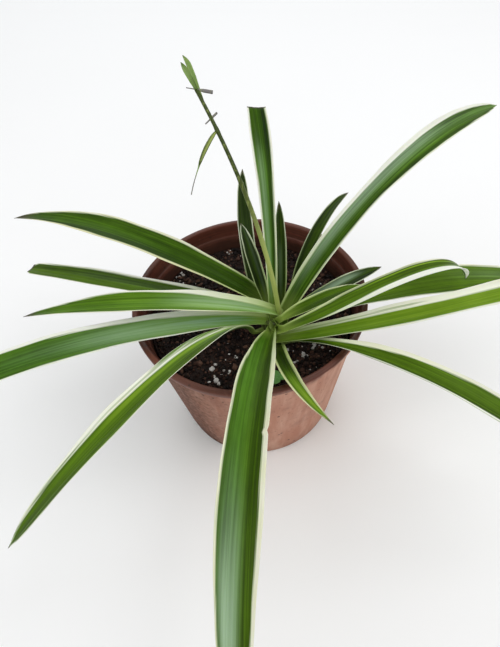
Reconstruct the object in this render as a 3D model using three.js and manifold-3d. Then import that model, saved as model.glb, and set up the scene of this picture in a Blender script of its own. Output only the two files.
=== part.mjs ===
// A spider plant in a tapered nursery pot. Millimetres, +Z up, origin at the centre of the pot's base.
// Each leaf is a channelled strap swept along an arch that is set by a few lengths and angles.
import * as THREE from "three";
import { mergeVertices } from "three/addons/utils/BufferGeometryUtils.js";
import Module from "manifold-3d";

const wasm = await Module();
wasm.setup();

// Clearance between pieces that touch on the real plant.
const GAP = 0.3;

// Pot
const POT_HEIGHT = 96;
const RIM_RADIUS = 65;
const BASE_RADIUS = 49.5;
const BASE_ROUND = 1.5;
const COLLAR_HEIGHT = 4;
const COLLAR_STEP = 3;
const COLLAR_DRAFT = 0.3;
const LIP_WIDTH = 3.4;
const LIP_ROUND = 1.2;
const INNER_FACE_HEIGHT = 8;
const INNER_FACE_DRAFT = 1.4;
const LEDGE_HEIGHT = 0.8;
const WALL = 2;
const FLOOR = 3;
const POT_SEGMENTS = 40;
const DRAIN_HOLES = 5;
const DRAIN_RADIUS = 3.5;
const DRAIN_RING = 30;
const DRAIN_SIDES = 12;

// Soil
const SOIL_TOP = 80;
const CRUMB_HEIGHT = 0.9;
const SOIL_RINGS = 7;
const SOIL_SEGMENTS = 32;

// Crown: a short stem that stands in the soil, with the sheathing bases of the leaves grown onto it.
const CROWN_X = 14;
const CROWN_Y = -12.5;
const CROWN_FOOT = 72;
const CROWN_TOP = 88;
const CROWN_LEAN = -0.5;
const STEM_RADIUS = 8;
const BULGE_RADIUS = 9.5;
const STEM_SIDES = 16;
const SHEATH = 1.6;
const SHEATH_DROP = 9;
const SHEATH_FLOOR = 83;
const SHEATH_KNEE = 5;
const SHEATH_STATIONS = 2;

// Leaves
const BLADE = 0.75;
const MIDRIB = 1.1;
const STATION = 11;
const FEWEST_STATIONS = 6;
const TIP_WIDTH = 1.2;
const ACROSS = [-1, -0.55, 0, 0.55, 1];
const FOLD_POWER = 1.5;

// Depth of the channel along a leaf, as a share of its half width.
const CHANNEL = [
  [0, 0.75],
  [0.25, 0.4],
  [0.6, 0.3],
  [1, 0.15],
];

// Width along a leaf, as a share of its widest: ending in a point, tapering early, widening late,
// broad near a short tip, with a neck, with a long thin foot, with a thin foot that spreads sooner,
// short, cut off square, or torn off.
const POINTED = [
  [0, 0.5],
  [0.1, 0.7],
  [0.3, 0.96],
  [0.55, 1],
  [0.8, 0.75],
  [0.93, 0.4],
  [1, 0],
];
const EARLY = [
  [0, 0.5],
  [0.1, 0.74],
  [0.2, 0.88],
  [0.35, 1],
  [0.52, 1],
  [0.65, 0.82],
  [0.8, 0.53],
  [0.93, 0.22],
  [1, 0],
];
const LATE = [
  [0, 0.48],
  [0.1, 0.66],
  [0.3, 0.87],
  [0.45, 0.92],
  [0.6, 1],
  [0.8, 0.84],
  [0.93, 0.46],
  [1, 0],
];
const ROUNDED = [
  [0, 0.5],
  [0.1, 0.68],
  [0.2, 0.74],
  [0.36, 0.75],
  [0.5, 0.92],
  [0.62, 1],
  [0.72, 0.96],
  [0.84, 0.76],
  [0.93, 0.46],
  [1, 0],
];
const NECKED = [
  [0, 0.3],
  [0.1, 0.58],
  [0.3, 0.96],
  [0.55, 1],
  [0.8, 0.75],
  [0.93, 0.4],
  [1, 0],
];
const THIN_FOOTED = [
  [0, 0.24],
  [0.1, 0.28],
  [0.18, 0.4],
  [0.3, 0.72],
  [0.45, 0.95],
  [0.6, 1],
  [0.8, 0.84],
  [0.93, 0.52],
  [1, 0],
];
const SPREAD = [
  [0, 0.24],
  [0.1, 0.32],
  [0.2, 0.52],
  [0.3, 0.86],
  [0.42, 1],
  [0.6, 0.98],
  [0.8, 0.8],
  [0.93, 0.46],
  [1, 0],
];
const TAPERED = [
  [0, 0.6],
  [0.2, 0.94],
  [0.4, 1],
  [0.65, 0.78],
  [0.85, 0.4],
  [1, 0],
];
const CUT = [
  [0, 0.45],
  [0.3, 0.62],
  [0.6, 0.8],
  [0.85, 1],
  [1, 0.88],
];
const TORN = [
  [0, 0.5],
  [0.1, 0.7],
  [0.3, 0.96],
  [0.55, 1],
  [0.85, 0.94],
  [0.97, 0.78],
  [1, 0.5],
];

// root: where the arch leaves its sheath. clasp: how far along it the leaf stays grown to the crown.
// heading: angle from +X seen from above, sway: how far that turns.
// rise: climb at the root, droop: how far it bends over, bend: 1 bends evenly, more gathers at the tip.
// roll: sideways lean of the blade. Angles are in degrees.
const LEAVES = [
  {
    name: "leaf_upper_left", root: [7.5, 1, 88], clasp: 1, heading: 159.9, sway: -9.3,
    length: 172, rise: 34.1, droop: 57.1, bend: 1.18, width: 16.5, roll: -6,
    outline: EARLY,
  },
  {
    name: "leaf_left_torn", root: [7, -2.5, 85], clasp: 3, heading: 174.6, sway: -24.2,
    length: 148, rise: 16.1, droop: 31, bend: 1.42, width: 12.5, roll: 2,
    outline: TORN,
  },
  {
    name: "leaf_left_middle", root: [14, -16, 95], clasp: 4, heading: 190.5, sway: -28.8,
    length: 145, rise: 39.4, droop: 66, bend: 0.82, width: 14.5, roll: 3,
    outline: EARLY,
  },
  {
    name: "leaf_left_long", root: [5.5, -13.5, 87], clasp: 10, heading: 193.5, sway: -4.6,
    length: 216, rise: 27.8, droop: 53.8, bend: 0.81, width: 18.6, roll: -2,
    outline: LATE,
  },
  {
    name: "leaf_lower_left", root: [0, -20.5, 87], clasp: 1, heading: 239.3, sway: -23.2,
    length: 168, rise: 75.6, droop: 110.3, bend: 0.63, width: 15, roll: 20,
    outline: THIN_FOOTED,
  },
  {
    name: "leaf_front", root: [10, -26, 92.5], clasp: 5, heading: 256.4, sway: 7.8,
    length: 186, rise: 36.5, droop: 92.8, bend: 1.23, width: 18, roll: 11,
    outline: NECKED,
  },
  {
    name: "leaf_front_short", root: [12.5, -28.5, 89], clasp: 8, heading: 267, sway: 38,
    length: 69, rise: 25, droop: 19, bend: 1.2, width: 8, roll: -3,
    outline: TAPERED,
  },
  {
    name: "leaf_right_lower", root: [17, -28, 84.5], clasp: 9, heading: 327.4, sway: 1.5,
    length: 180, rise: 54, droop: 98, bend: 0.55, width: 14.5, roll: -7,
    outline: THIN_FOOTED,
  },
  {
    name: "leaf_right", root: [14.5, -32, 93.5], clasp: 4, heading: -9.3, sway: 30.6,
    length: 198, rise: 17.2, droop: 29.7, bend: 1.32, width: 13.5, roll: 1,
    outline: POINTED,
  },
  {
    name: "leaf_right_behind", root: [19.5, -19.5, 87], clasp: 5, heading: 5.7, sway: 3.9,
    length: 196, rise: 32.3, droop: 70.4, bend: 0.72, width: 17, roll: 9,
    outline: SPREAD,
  },
  {
    name: "leaf_right_hooked", root: [17, -30.5, 98.5], clasp: 0, heading: -4.5, sway: 34.2,
    length: 118, rise: 30.4, droop: 105.8, bend: 2.53, width: 11, roll: -8,
    outline: POINTED,
  },
  {
    name: "leaf_right_dark", root: [23, -10, 86], clasp: 0, heading: 13.5, sway: 7.5,
    length: 57, rise: 30.5, droop: 33.5, bend: 1.2, width: 9, roll: 1,
    outline: POINTED,
  },
  {
    name: "leaf_right_short", root: [17.5, -21.5, 97.5], clasp: 0, heading: 13, sway: 3,
    length: 46, rise: 23.5, droop: 29, bend: 1.1, width: 9, roll: -4,
    outline: POINTED,
  },
  {
    name: "leaf_upper_right", root: [20, -10, 92], clasp: 0, heading: 42.1, sway: -3,
    length: 219, rise: 47.9, droop: 65, bend: 0.64, width: 15, roll: 26,
    outline: ROUNDED,
  },
  {
    name: "leaf_back_right_dark", root: [23.5, -3, 88], clasp: 0, heading: 57, sway: -6.5,
    length: 81, rise: 61, droop: 80.5, bend: 1.2, width: 7, roll: -4,
    outline: POINTED,
  },
  {
    name: "leaf_back_dark", root: [18, -1.5, 88], clasp: 0, heading: 81, sway: 6,
    length: 57, rise: 75, droop: 43, bend: 1.2, width: 6.5, roll: 0,
    outline: POINTED,
  },
  {
    name: "leaf_back_cut", root: [13, -6.5, 92], clasp: 0, heading: 84.5, sway: 9,
    length: 105, rise: 70, droop: 40.5, bend: 1.2, width: 10.6, roll: -2,
    outline: CUT,
  },
  {
    name: "leaf_back_left_dark", root: [5, 2.5, 83.5], clasp: 1, heading: 99.5, sway: -15.5,
    length: 82, rise: 50, droop: 32.5, bend: 1.2, width: 8.5, roll: 0,
    outline: POINTED,
  },
  {
    name: "leaf_back_left_short", root: [9.5, -2, 89], clasp: 1, heading: 109, sway: -3,
    length: 47, rise: 56, droop: 24.5, bend: 1.2, width: 7.5, roll: 2,
    outline: POINTED,
  },
];

// Flower stalk, with a bract at its end, a leaf that hangs from it, and two dry twigs caught across it.
// at: the share of the stalk's length where each one grows. behind: how far a twig reaches back past it.
const STALK = {
  root: [16, -14.5, 86], clasp: 14, heading: 131.5, sway: -8.3,
  length: 127, rise: 84.5, droop: 42.2, bend: 1.3, roll: 0,
};
const STALK_FOOT_RADIUS = 1.9;
const STALK_TOP_RADIUS = 0.9;
const STALK_SIDES = 8;
const STALK_STATIONS = 11;
const BRACT = {
  at: 0.955, behind: 0, heading: 116, sway: 0,
  length: 21.5, rise: 47, droop: 0, bend: 1, width: 4, roll: 0, outline: POINTED,
};
const HANGING_LEAF = {
  at: 0.852, behind: 0, heading: 235, sway: -27,
  length: 31, rise: -10, droop: 60, bend: 0.65, width: 2.8, roll: 0, outline: POINTED,
};
const TWIGS = [
  { at: 1, behind: 4.2, heading: -12, sway: 0, length: 11.5, rise: -10, droop: 0, bend: 1, roll: 0 },
  { at: 0.895, behind: 3.5, heading: 32, sway: 0, length: 7, rise: 23, droop: 0, bend: 1, roll: 0 },
];
const TWIG_RADIUS = 0.45;
const TWIG_SIDES = 6;
const TWIG_STATIONS = 2;

// Seedling: a weed with three round leaflets on a thin stem.
const SEEDLING_X = 11;
const SEEDLING_Y = -49;
const SEEDLING_HEIGHT = 5;
const SEEDLING_DEPTH = 4;
const SEEDLING_STEM_RADIUS = 0.6;
const SEEDLING_SIDES = 8;
const LEAFLETS = 3;
const LEAFLET_LENGTH = 2.6;
const LEAFLET_WIDTH = 2.1;
const LEAFLET_THICKNESS = 0.6;
const LEAFLET_REACH = 2.2;

// Materials
const finish = (color, roughness) => new THREE.MeshStandardMaterial({ color, roughness, metalness: 0 });
const POT_FINISH = finish(0x8f5a48, 0.6);
const SOIL_FINISH = finish(0x2a211d, 0.95);
const CROWN_FINISH = finish(0xb9c47a, 0.5);
const LEAF_FINISH = finish(0x4f7d2e, 0.42);
const STALK_FINISH = finish(0x77893f, 0.5);
const SEEDLING_FINISH = finish(0x5f9a3c, 0.5);

const rad = THREE.MathUtils.degToRad;

// Straight-line value at s, 0 to 1, of a list of [position, value] pairs.
function between(pairs, s) {
  const share = Math.min(s, 1);
  const next = Math.max(1, pairs.findIndex(([position]) => position >= share));
  const [s0, v0] = pairs[next - 1];
  const [s1, v1] = pairs[next];
  return v0 + ((v1 - v0) * (share - s0)) / (s1 - s0);
}

// The direction of an arch at the share s of its length.
function direction(arch, s) {
  const climb = rad(arch.rise - arch.droop * s ** arch.bend);
  const turn = rad(arch.heading + arch.sway * s);
  const level = Math.cos(climb);
  return new THREE.Vector3(level * Math.cos(turn), level * Math.sin(turn), Math.sin(climb));
}

// The way across an arch: level, then leant over by its roll.
function sideways(arch, s) {
  const turn = rad(arch.heading + arch.sway * s);
  const level = new THREE.Vector3(-Math.sin(turn), Math.cos(turn), 0);
  return level.applyAxisAngle(direction(arch, s), rad(arch.roll));
}

// Frames at even steps along an arch, from the share `from` of its length to its end.
function frames(arch, from, count) {
  const substeps = 8;
  const point = new THREE.Vector3(...arch.root);
  const out = [];
  let reached = 0;
  for (let k = 0; k <= count; k++) {
    const s = from + ((1 - from) * k) / count;
    const step = (s - reached) / substeps;
    for (let i = 0; i < substeps; i++) {
      point.addScaledVector(direction(arch, reached + (i + 0.5) * step), arch.length * step);
    }
    reached = s;
    const side = sideways(arch, s);
    const up = new THREE.Vector3().crossVectors(direction(arch, s), side);
    out.push({ s, point: point.clone(), side, up });
  }
  return out;
}

function geometryOf(positions, index) {
  const geometry = new THREE.BufferGeometry();
  const flat = positions.flatMap((position) => position.toArray());
  geometry.setAttribute("position", new THREE.Float32BufferAttribute(flat, 3));
  geometry.setIndex(index);
  return geometry;
}

// One ring of a channelled strap: its upper face from left to right, then its lower face back.
function strapRing({ point, side, up }, half, fold, edge, middle) {
  const upper = [];
  const lower = [];
  for (const y of ACROSS) {
    const lean = Math.atan(fold * FOLD_POWER * Math.sign(y) * Math.abs(y) ** (FOLD_POWER - 1));
    const normal = up.clone().multiplyScalar(Math.cos(lean)).addScaledVector(side, -Math.sin(lean));
    const top = point.clone().addScaledVector(side, y * half);
    top.addScaledVector(up, half * fold * Math.abs(y) ** FOLD_POWER);
    const thickness = middle + (edge - middle) * Math.abs(y);
    upper.unshift(top);
    lower.push(top.clone().addScaledVector(normal, -thickness));
  }
  return [...upper, ...lower];
}

// A closed strap through rings of 2 n points: n on the upper face and n on the lower face.
// Both faces are split along the same diagonals, so that a thin blade never meets itself.
function strapGeometry(rings) {
  const round = rings[0].length;
  const n = round / 2;
  const last = rings.length - 1;
  const at = (k, i) => k * round + (i % round);
  const index = [];
  for (let k = 0; k < last; k++) {
    for (let i = 0; i < round; i++) {
      const [a, b, c, d] = [at(k, i), at(k, i + 1), at(k + 1, i + 1), at(k + 1, i)];
      if (i < n) index.push(a, b, c, a, c, d);
      else index.push(a, b, d, b, c, d);
    }
  }
  for (let j = 0; j + 1 < n; j++) {
    const quad = [j, round - 1 - j, round - 2 - j, j + 1];
    const [a, b, c, d] = quad.map((i) => at(0, i));
    const [e, f, g, h] = quad.map((i) => at(last, i));
    index.push(a, b, c, a, c, d, e, g, f, e, h, g);
  }
  return geometryOf(rings.flat(), index);
}

// The channelled blade of a leaf between two shares of its length.
function bladeRings(leaf, from, to, count) {
  return frames(cutShort(leaf, to), from / to, count).map((frame) => {
    const s = frame.s * to;
    const half = Math.max(TIP_WIDTH, leaf.width * between(leaf.outline, s)) / 2;
    return strapRing(frame, half, between(CHANNEL, s), BLADE, MIDRIB);
  });
}

function leafGeometry(leaf, from) {
  const count = Math.max(FEWEST_STATIONS, Math.round(leaf.length / STATION));
  return strapGeometry(bladeRings(leaf, from, 1, count));
}

// The sheathing base of a leaf, from inside the crown up to where its blade comes free.
function sheathGeometry(leaf) {
  const root = new THREE.Vector3(...leaf.root);
  const height = Math.max(root.z - SHEATH_DROP, SHEATH_FLOOR);
  const core = new THREE.Vector3(CROWN_X, CROWN_Y + CROWN_LEAN * (height - SOIL_TOP), height);
  const knee = root.clone().addScaledVector(direction(leaf, 0), -SHEATH_KNEE);
  knee.z = Math.max(knee.z, SHEATH_FLOOR);
  const path = new THREE.QuadraticBezierCurve3(core, knee, root);
  const half = (leaf.width * leaf.outline[0][1]) / 2;
  const rings = [];
  for (let k = 0; k <= SHEATH_STATIONS; k++) {
    const t = k / SHEATH_STATIONS;
    const forward = path.getTangent(t);
    const up = new THREE.Vector3().crossVectors(forward, sideways(leaf, 0)).normalize();
    const side = new THREE.Vector3().crossVectors(up, forward);
    rings.push(strapRing({ point: path.getPoint(t), side, up }, half, CHANNEL[0][1], SHEATH, SHEATH));
  }
  if (leaf.clasp > 0) rings.push(...bladeRings(leaf, 0, leaf.clasp / leaf.length, 1).slice(1));
  return strapGeometry(rings);
}

// An arch cut short at the share `to` of its length.
function cutShort(arch, to) {
  return { ...arch, length: arch.length * to, droop: arch.droop * to ** arch.bend, sway: arch.sway * to };
}

// A round rod of changing radius along an arch.
function rodGeometry(arch, from, count, sides, radiusAt) {
  const positions = [];
  for (const { s, point, side, up } of frames(arch, from, count)) {
    for (let i = 0; i < sides; i++) {
      const angle = (2 * Math.PI * i) / sides;
      const out = side.clone().multiplyScalar(Math.cos(angle)).addScaledVector(up, Math.sin(angle));
      positions.push(point.clone().addScaledVector(out, radiusAt(s)));
    }
  }
  const at = (k, i) => k * sides + (i % sides);
  const index = [];
  for (let k = 0; k < count; k++) {
    for (let i = 0; i < sides; i++) {
      const [a, b, c, d] = [at(k, i), at(k, i + 1), at(k + 1, i + 1), at(k + 1, i)];
      index.push(a, b, c, a, c, d);
    }
  }
  for (let i = 1; i + 1 < sides; i++) {
    index.push(at(0, 0), at(0, i + 1), at(0, i));
    index.push(at(count, 0), at(count, i), at(count, i + 1));
  }
  return geometryOf(positions, index);
}

// A closed geometry as a solid that can be joined and cut.
function solidOf(geometry) {
  const bare = new THREE.BufferGeometry();
  bare.setAttribute("position", geometry.getAttribute("position"));
  bare.setIndex(geometry.getIndex());
  const merged = mergeVertices(bare, 1e-4);
  const source = merged.getIndex().array;
  const triVerts = [];
  for (let i = 0; i < source.length; i += 3) {
    const [a, b, c] = source.slice(i, i + 3);
    if (a !== b && b !== c && a !== c) triVerts.push(a, b, c);
  }
  const vertProperties = merged.getAttribute("position").array;
  const mesh = new wasm.Mesh({ numProp: 3, vertProperties, triVerts: new Uint32Array(triVerts) });
  return new wasm.Manifold(mesh);
}

function meshOf(name, solid, material) {
  const { vertProperties, triVerts } = solid.getMesh();
  const geometry = new THREE.BufferGeometry();
  geometry.setAttribute("position", new THREE.BufferAttribute(vertProperties, 3));
  geometry.setIndex(new THREE.BufferAttribute(triVerts, 1));
  geometry.computeVertexNormals();
  const mesh = new THREE.Mesh(geometry, material);
  mesh.name = name;
  return mesh;
}

// A profile of [radius, height] points that starts and ends on the axis, spun about Z.
function spun(profile, segments) {
  const points = profile.map(([radius, height]) => new THREE.Vector2(radius, height));
  return new THREE.LatheGeometry(points, segments).rotateX(Math.PI / 2);
}

// Radius of the pot's wall at a height, outside and inside.
const COLLAR_FOOT = POT_HEIGHT - COLLAR_HEIGHT;
const outerRadius = (z) => BASE_RADIUS + ((RIM_RADIUS - COLLAR_STEP - BASE_RADIUS) * z) / COLLAR_FOOT;
const innerRadius = (z) => outerRadius(z) - WALL;

function potSolid() {
  const lipInner = RIM_RADIUS - LIP_WIDTH;
  const ledge = POT_HEIGHT - INNER_FACE_HEIGHT;
  const profile = [
    [0, 0],
    [BASE_RADIUS - BASE_ROUND, 0],
    [outerRadius(BASE_ROUND), BASE_ROUND],
    [outerRadius(COLLAR_FOOT), COLLAR_FOOT],
    [RIM_RADIUS - COLLAR_DRAFT, COLLAR_FOOT],
    [RIM_RADIUS, POT_HEIGHT - LIP_ROUND],
    [RIM_RADIUS - LIP_ROUND / 3, POT_HEIGHT - LIP_ROUND / 3],
    [RIM_RADIUS - LIP_ROUND, POT_HEIGHT],
    [lipInner + LIP_ROUND, POT_HEIGHT],
    [lipInner + LIP_ROUND / 3, POT_HEIGHT - LIP_ROUND / 3],
    [lipInner, POT_HEIGHT - LIP_ROUND],
    [lipInner - INNER_FACE_DRAFT, ledge],
    [innerRadius(ledge - LEDGE_HEIGHT), ledge - LEDGE_HEIGHT],
    [innerRadius(FLOOR), FLOOR],
    [0, FLOOR],
  ];
  let pot = solidOf(spun(profile, POT_SEGMENTS));
  for (let i = 0; i < DRAIN_HOLES; i++) {
    const angle = (2 * Math.PI * i) / DRAIN_HOLES;
    const hole = new THREE.CylinderGeometry(DRAIN_RADIUS, DRAIN_RADIUS, 4 * FLOOR, DRAIN_SIDES);
    hole.rotateX(Math.PI / 2).translate(DRAIN_RING * Math.cos(angle), DRAIN_RING * Math.sin(angle), 0);
    pot = pot.subtract(solidOf(hole));
  }
  return pot;
}

// Height of the crumbs of potting mix over the soil's level.
function crumbs(x, y) {
  const along = Math.sin(0.31 * x + 1.7 * Math.sin(0.23 * y));
  const crosswise = Math.sin(0.37 * y + 1.3 * Math.sin(0.29 * x));
  return (CRUMB_HEIGHT * (along + crosswise)) / 2;
}

// The potting mix: a rough top in rings, and a smooth tapered side that follows the pot's inner wall.
function soilSolid() {
  const flat = Math.cos(Math.PI / POT_SEGMENTS);
  const topRadius = innerRadius(SOIL_TOP) * flat - GAP;
  const footRadius = innerRadius(FLOOR + GAP) * flat - GAP;
  const positions = [new THREE.Vector3(0, 0, SOIL_TOP), new THREE.Vector3(0, 0, FLOOR + GAP)];
  const index = [];
  const addRing = (radius, heightAt) => {
    const first = positions.length;
    for (let i = 0; i < SOIL_SEGMENTS; i++) {
      const angle = (2 * Math.PI * i) / SOIL_SEGMENTS;
      const [x, y] = [radius * Math.cos(angle), radius * Math.sin(angle)];
      positions.push(new THREE.Vector3(x, y, heightAt(x, y)));
    }
    return first;
  };
  const next = (i) => (i + 1) % SOIL_SEGMENTS;
  const rough = (x, y) => SOIL_TOP + crumbs(x, y);
  let inner = addRing(topRadius / SOIL_RINGS, rough);
  for (let i = 0; i < SOIL_SEGMENTS; i++) index.push(0, inner + i, inner + next(i));
  const joinTo = (outer) => {
    for (let i = 0; i < SOIL_SEGMENTS; i++) {
      index.push(inner + i, outer + i, outer + next(i), inner + i, outer + next(i), inner + next(i));
    }
    inner = outer;
  };
  for (let k = 2; k < SOIL_RINGS; k++) joinTo(addRing((topRadius * k) / SOIL_RINGS, rough));
  joinTo(addRing(topRadius, () => SOIL_TOP));
  joinTo(addRing(footRadius, () => FLOOR + GAP));
  for (let i = 0; i < SOIL_SEGMENTS; i++) index.push(1, inner + next(i), inner + i);
  return solidOf(geometryOf(positions, index));
}

// The stem of the crown, or with `grow` the plain hole that it stands in.
function stemSolid(grow) {
  const shoulder = SOIL_TOP + CRUMB_HEIGHT + GAP;
  const profile = [
    [0, CROWN_FOOT - grow],
    [STEM_RADIUS + grow, CROWN_FOOT - grow],
    [STEM_RADIUS + grow, shoulder],
    [BULGE_RADIUS + grow, (shoulder + CROWN_TOP) / 2],
    [BULGE_RADIUS / 2 + grow, CROWN_TOP - 1 + grow],
    [0, CROWN_TOP + grow],
  ];
  return solidOf(spun(profile, STEM_SIDES).translate(CROWN_X, CROWN_Y, 0));
}

function stalkRadius(s) {
  return STALK_FOOT_RADIUS + (STALK_TOP_RADIUS - STALK_FOOT_RADIUS) * s;
}

// The stem with every sheath and the foot of the stalk. Hollows closed in among the sheaths are filled.
function crownSolid() {
  const to = STALK.clasp / STALK.length;
  const foot = rodGeometry(cutShort(STALK, to), 0, 2, STALK_SIDES, (s) => stalkRadius(s * to));
  const grown = stemSolid(0).add(solidOf(foot));
  const whole = LEAVES.reduce((crown, leaf) => crown.add(solidOf(sheathGeometry(leaf))), grown);
  return whole.decompose().reduce((outer, shell) => (shell.volume() > outer.volume() ? shell : outer));
}

// The stalk, with what grows on it joined on.
function stalkSolid() {
  const grown = (arch) => {
    const root = frames(STALK, arch.at, 1)[0].point.addScaledVector(direction(arch, 0), -arch.behind);
    return { ...arch, root: root.toArray() };
  };
  const foot = (STALK.clasp + GAP) / STALK.length;
  let stalk = solidOf(rodGeometry(STALK, foot, STALK_STATIONS, STALK_SIDES, stalkRadius));
  for (const leaf of [BRACT, HANGING_LEAF]) stalk = stalk.add(solidOf(leafGeometry(grown(leaf), 0)));
  for (const twig of TWIGS) {
    stalk = stalk.add(solidOf(rodGeometry(grown(twig), 0, TWIG_STATIONS, TWIG_SIDES, () => TWIG_RADIUS)));
  }
  return stalk;
}

// A weed's stem with its leaflets, or with `grow` the hole that the stem stands in.
function seedlingStem(grow) {
  const length = SEEDLING_HEIGHT + SEEDLING_DEPTH + grow;
  const radius = SEEDLING_STEM_RADIUS + grow;
  const stem = new THREE.CylinderGeometry(radius, radius, length, SEEDLING_SIDES);
  stem.rotateX(Math.PI / 2).translate(SEEDLING_X, SEEDLING_Y, SOIL_TOP + SEEDLING_HEIGHT - length / 2);
  return solidOf(stem);
}

function seedlingSolid() {
  let seedling = seedlingStem(0);
  for (let i = 0; i < LEAFLETS; i++) {
    const leaflet = new THREE.SphereGeometry(1, 8, 5);
    leaflet.scale(LEAFLET_LENGTH, LEAFLET_WIDTH, LEAFLET_THICKNESS).translate(LEAFLET_REACH, 0, 0);
    leaflet.rotateZ((2 * Math.PI * i) / LEAFLETS);
    leaflet.translate(SEEDLING_X, SEEDLING_Y, SOIL_TOP + SEEDLING_HEIGHT);
    seedling = seedling.add(solidOf(leaflet));
  }
  return seedling;
}

const plant = new THREE.Group();
const crown = crownSolid();
const stalk = stalkSolid();
plant.add(meshOf("pot", potSolid(), POT_FINISH));
plant.add(meshOf("soil", soilSolid().subtract(stemSolid(GAP)).subtract(seedlingStem(GAP)), SOIL_FINISH));
plant.add(meshOf("crown", crown, CROWN_FINISH));
for (const leaf of LEAVES) {
  plant.add(meshOf(leaf.name, solidOf(leafGeometry(leaf, (leaf.clasp + GAP) / leaf.length)), LEAF_FINISH));
}
plant.add(meshOf("flower_stalk", stalk, STALK_FINISH));
plant.add(meshOf("seedling", seedlingSolid(), SEEDLING_FINISH));

export default plant;
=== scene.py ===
"""Looks of a potted spider plant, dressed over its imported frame.

Sizes are in millimetres until a mesh is made, then in metres. +Z is up and the origin is the centre of
the pot's underside. Each leaf is a channelled strap swept along an arch of a few lengths and angles.
"""

import logging
import math
import random
from dataclasses import dataclass, field
from enum import Enum
from typing import Sequence

import bmesh
import bpy
import numpy as np
from mathutils import Matrix, Vector, noise
from mathutils.geometry import delaunay_2d_cdt


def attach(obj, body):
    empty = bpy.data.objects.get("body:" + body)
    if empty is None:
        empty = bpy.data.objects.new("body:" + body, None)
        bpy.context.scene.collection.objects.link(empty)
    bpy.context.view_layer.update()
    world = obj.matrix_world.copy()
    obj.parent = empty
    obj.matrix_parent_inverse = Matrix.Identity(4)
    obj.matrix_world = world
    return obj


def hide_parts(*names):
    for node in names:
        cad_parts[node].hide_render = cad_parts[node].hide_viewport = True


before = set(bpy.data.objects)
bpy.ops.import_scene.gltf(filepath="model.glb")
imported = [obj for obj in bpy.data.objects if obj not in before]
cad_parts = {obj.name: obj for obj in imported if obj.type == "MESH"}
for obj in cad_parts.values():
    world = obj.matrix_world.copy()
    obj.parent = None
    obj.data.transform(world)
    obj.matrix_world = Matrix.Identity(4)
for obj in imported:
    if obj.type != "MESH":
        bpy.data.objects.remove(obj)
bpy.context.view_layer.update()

log = logging.getLogger("spider_plant")
Colour = tuple[float, float, float]
Pairs = tuple[tuple[float, float], ...]
Faces = list[tuple[int, ...]]
Material = bpy.types.Material
Socket = bpy.types.NodeSocket
Value = Socket | float
Shade = Socket | Colour

MM = 0.001
SOIL_TOP = 80.0
# The crown's stem stands here, and leans this far for each millimetre above the soil.
CROWN = (14.0, -12.5)
CROWN_LEAN = -0.5
# How far red, green and blue light spread in the flesh of leaf and stem, against each other.
FLESH = (0.6, 1.0, 0.25)
# The angles, in radians, that a random wave may start at.
ANY_PHASE = (0, 6.3)


class Outline(Enum):
    """Width along a leaf as shares of its widest, in the forms that the leaves of this plant take."""

    POINTED = ((0, 0.5), (0.1, 0.7), (0.3, 0.96), (0.55, 1), (0.8, 0.75), (0.93, 0.4), (1, 0))
    EARLY = (
        (0, 0.5), (0.1, 0.74), (0.2, 0.88), (0.35, 1), (0.52, 1),
        (0.65, 0.82), (0.8, 0.53), (0.93, 0.22), (1, 0),
    )
    LATE = ((0, 0.48), (0.1, 0.66), (0.3, 0.87), (0.45, 0.92), (0.6, 1), (0.8, 0.84), (0.93, 0.46), (1, 0))
    ROUNDED = (
        (0, 0.5), (0.1, 0.68), (0.2, 0.74), (0.36, 0.75), (0.5, 0.92),
        (0.62, 1), (0.72, 0.96), (0.84, 0.76), (0.93, 0.46), (1, 0),
    )
    NECKED = ((0, 0.3), (0.1, 0.58), (0.3, 0.96), (0.55, 1), (0.8, 0.75), (0.93, 0.4), (1, 0))
    THIN_FOOTED = (
        (0, 0.24), (0.1, 0.28), (0.18, 0.4), (0.3, 0.72), (0.45, 0.95),
        (0.6, 1), (0.8, 0.84), (0.93, 0.52), (1, 0),
    )
    SPREAD = (
        (0, 0.24), (0.1, 0.32), (0.2, 0.52), (0.3, 0.86), (0.42, 1),
        (0.6, 0.98), (0.8, 0.8), (0.93, 0.46), (1, 0),
    )
    TAPERED = ((0, 0.6), (0.2, 0.94), (0.4, 1), (0.65, 0.78), (0.85, 0.4), (1, 0))
    CUT = ((0, 0.45), (0.3, 0.62), (0.6, 0.8), (0.85, 1), (1, 0.88))
    TORN = ((0, 0.5), (0.1, 0.7), (0.3, 0.96), (0.55, 1), (0.85, 0.94), (0.97, 0.78), (1, 0.5))


class Tone(Enum):
    """How light the green of a leaf is, from 0 for the shaded ones at the back to 1 for lime."""

    SHADED = 0.05
    DEEP = 0.3
    FRESH = 0.5
    LIME = 0.8


def between(pairs: Pairs, s: np.ndarray) -> np.ndarray:
    """Smooth value at s of a list of (position, value) pairs.

    Args:
        pairs: positions that rise, each with its value.
        s: the places asked for.

    Returns:
        The values, on cubic pieces that never overshoot the pairs.
    """
    x, y = (np.array(column, float) for column in zip(*pairs))
    h = np.diff(x)
    slope = np.diff(y) / h
    tangent = np.zeros_like(y)
    for i in range(1, len(x) - 1):
        if slope[i - 1] * slope[i] > 0:
            tangent[i] = 2 * slope[i - 1] * slope[i] / (slope[i - 1] + slope[i])
    tangent[0], tangent[-1] = slope[0], slope[-1]
    s = np.clip(s, x[0], x[-1])
    k = np.clip(np.searchsorted(x, s, side="right") - 1, 0, len(h) - 1)
    t = (s - x[k]) / h[k]
    low = y[k] * (1 + 2 * t) * (1 - t) ** 2 + tangent[k] * h[k] * t * (1 - t) ** 2
    high = y[k + 1] * t * t * (3 - 2 * t) + tangent[k + 1] * h[k] * t * t * (t - 1)
    return low + high


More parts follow.
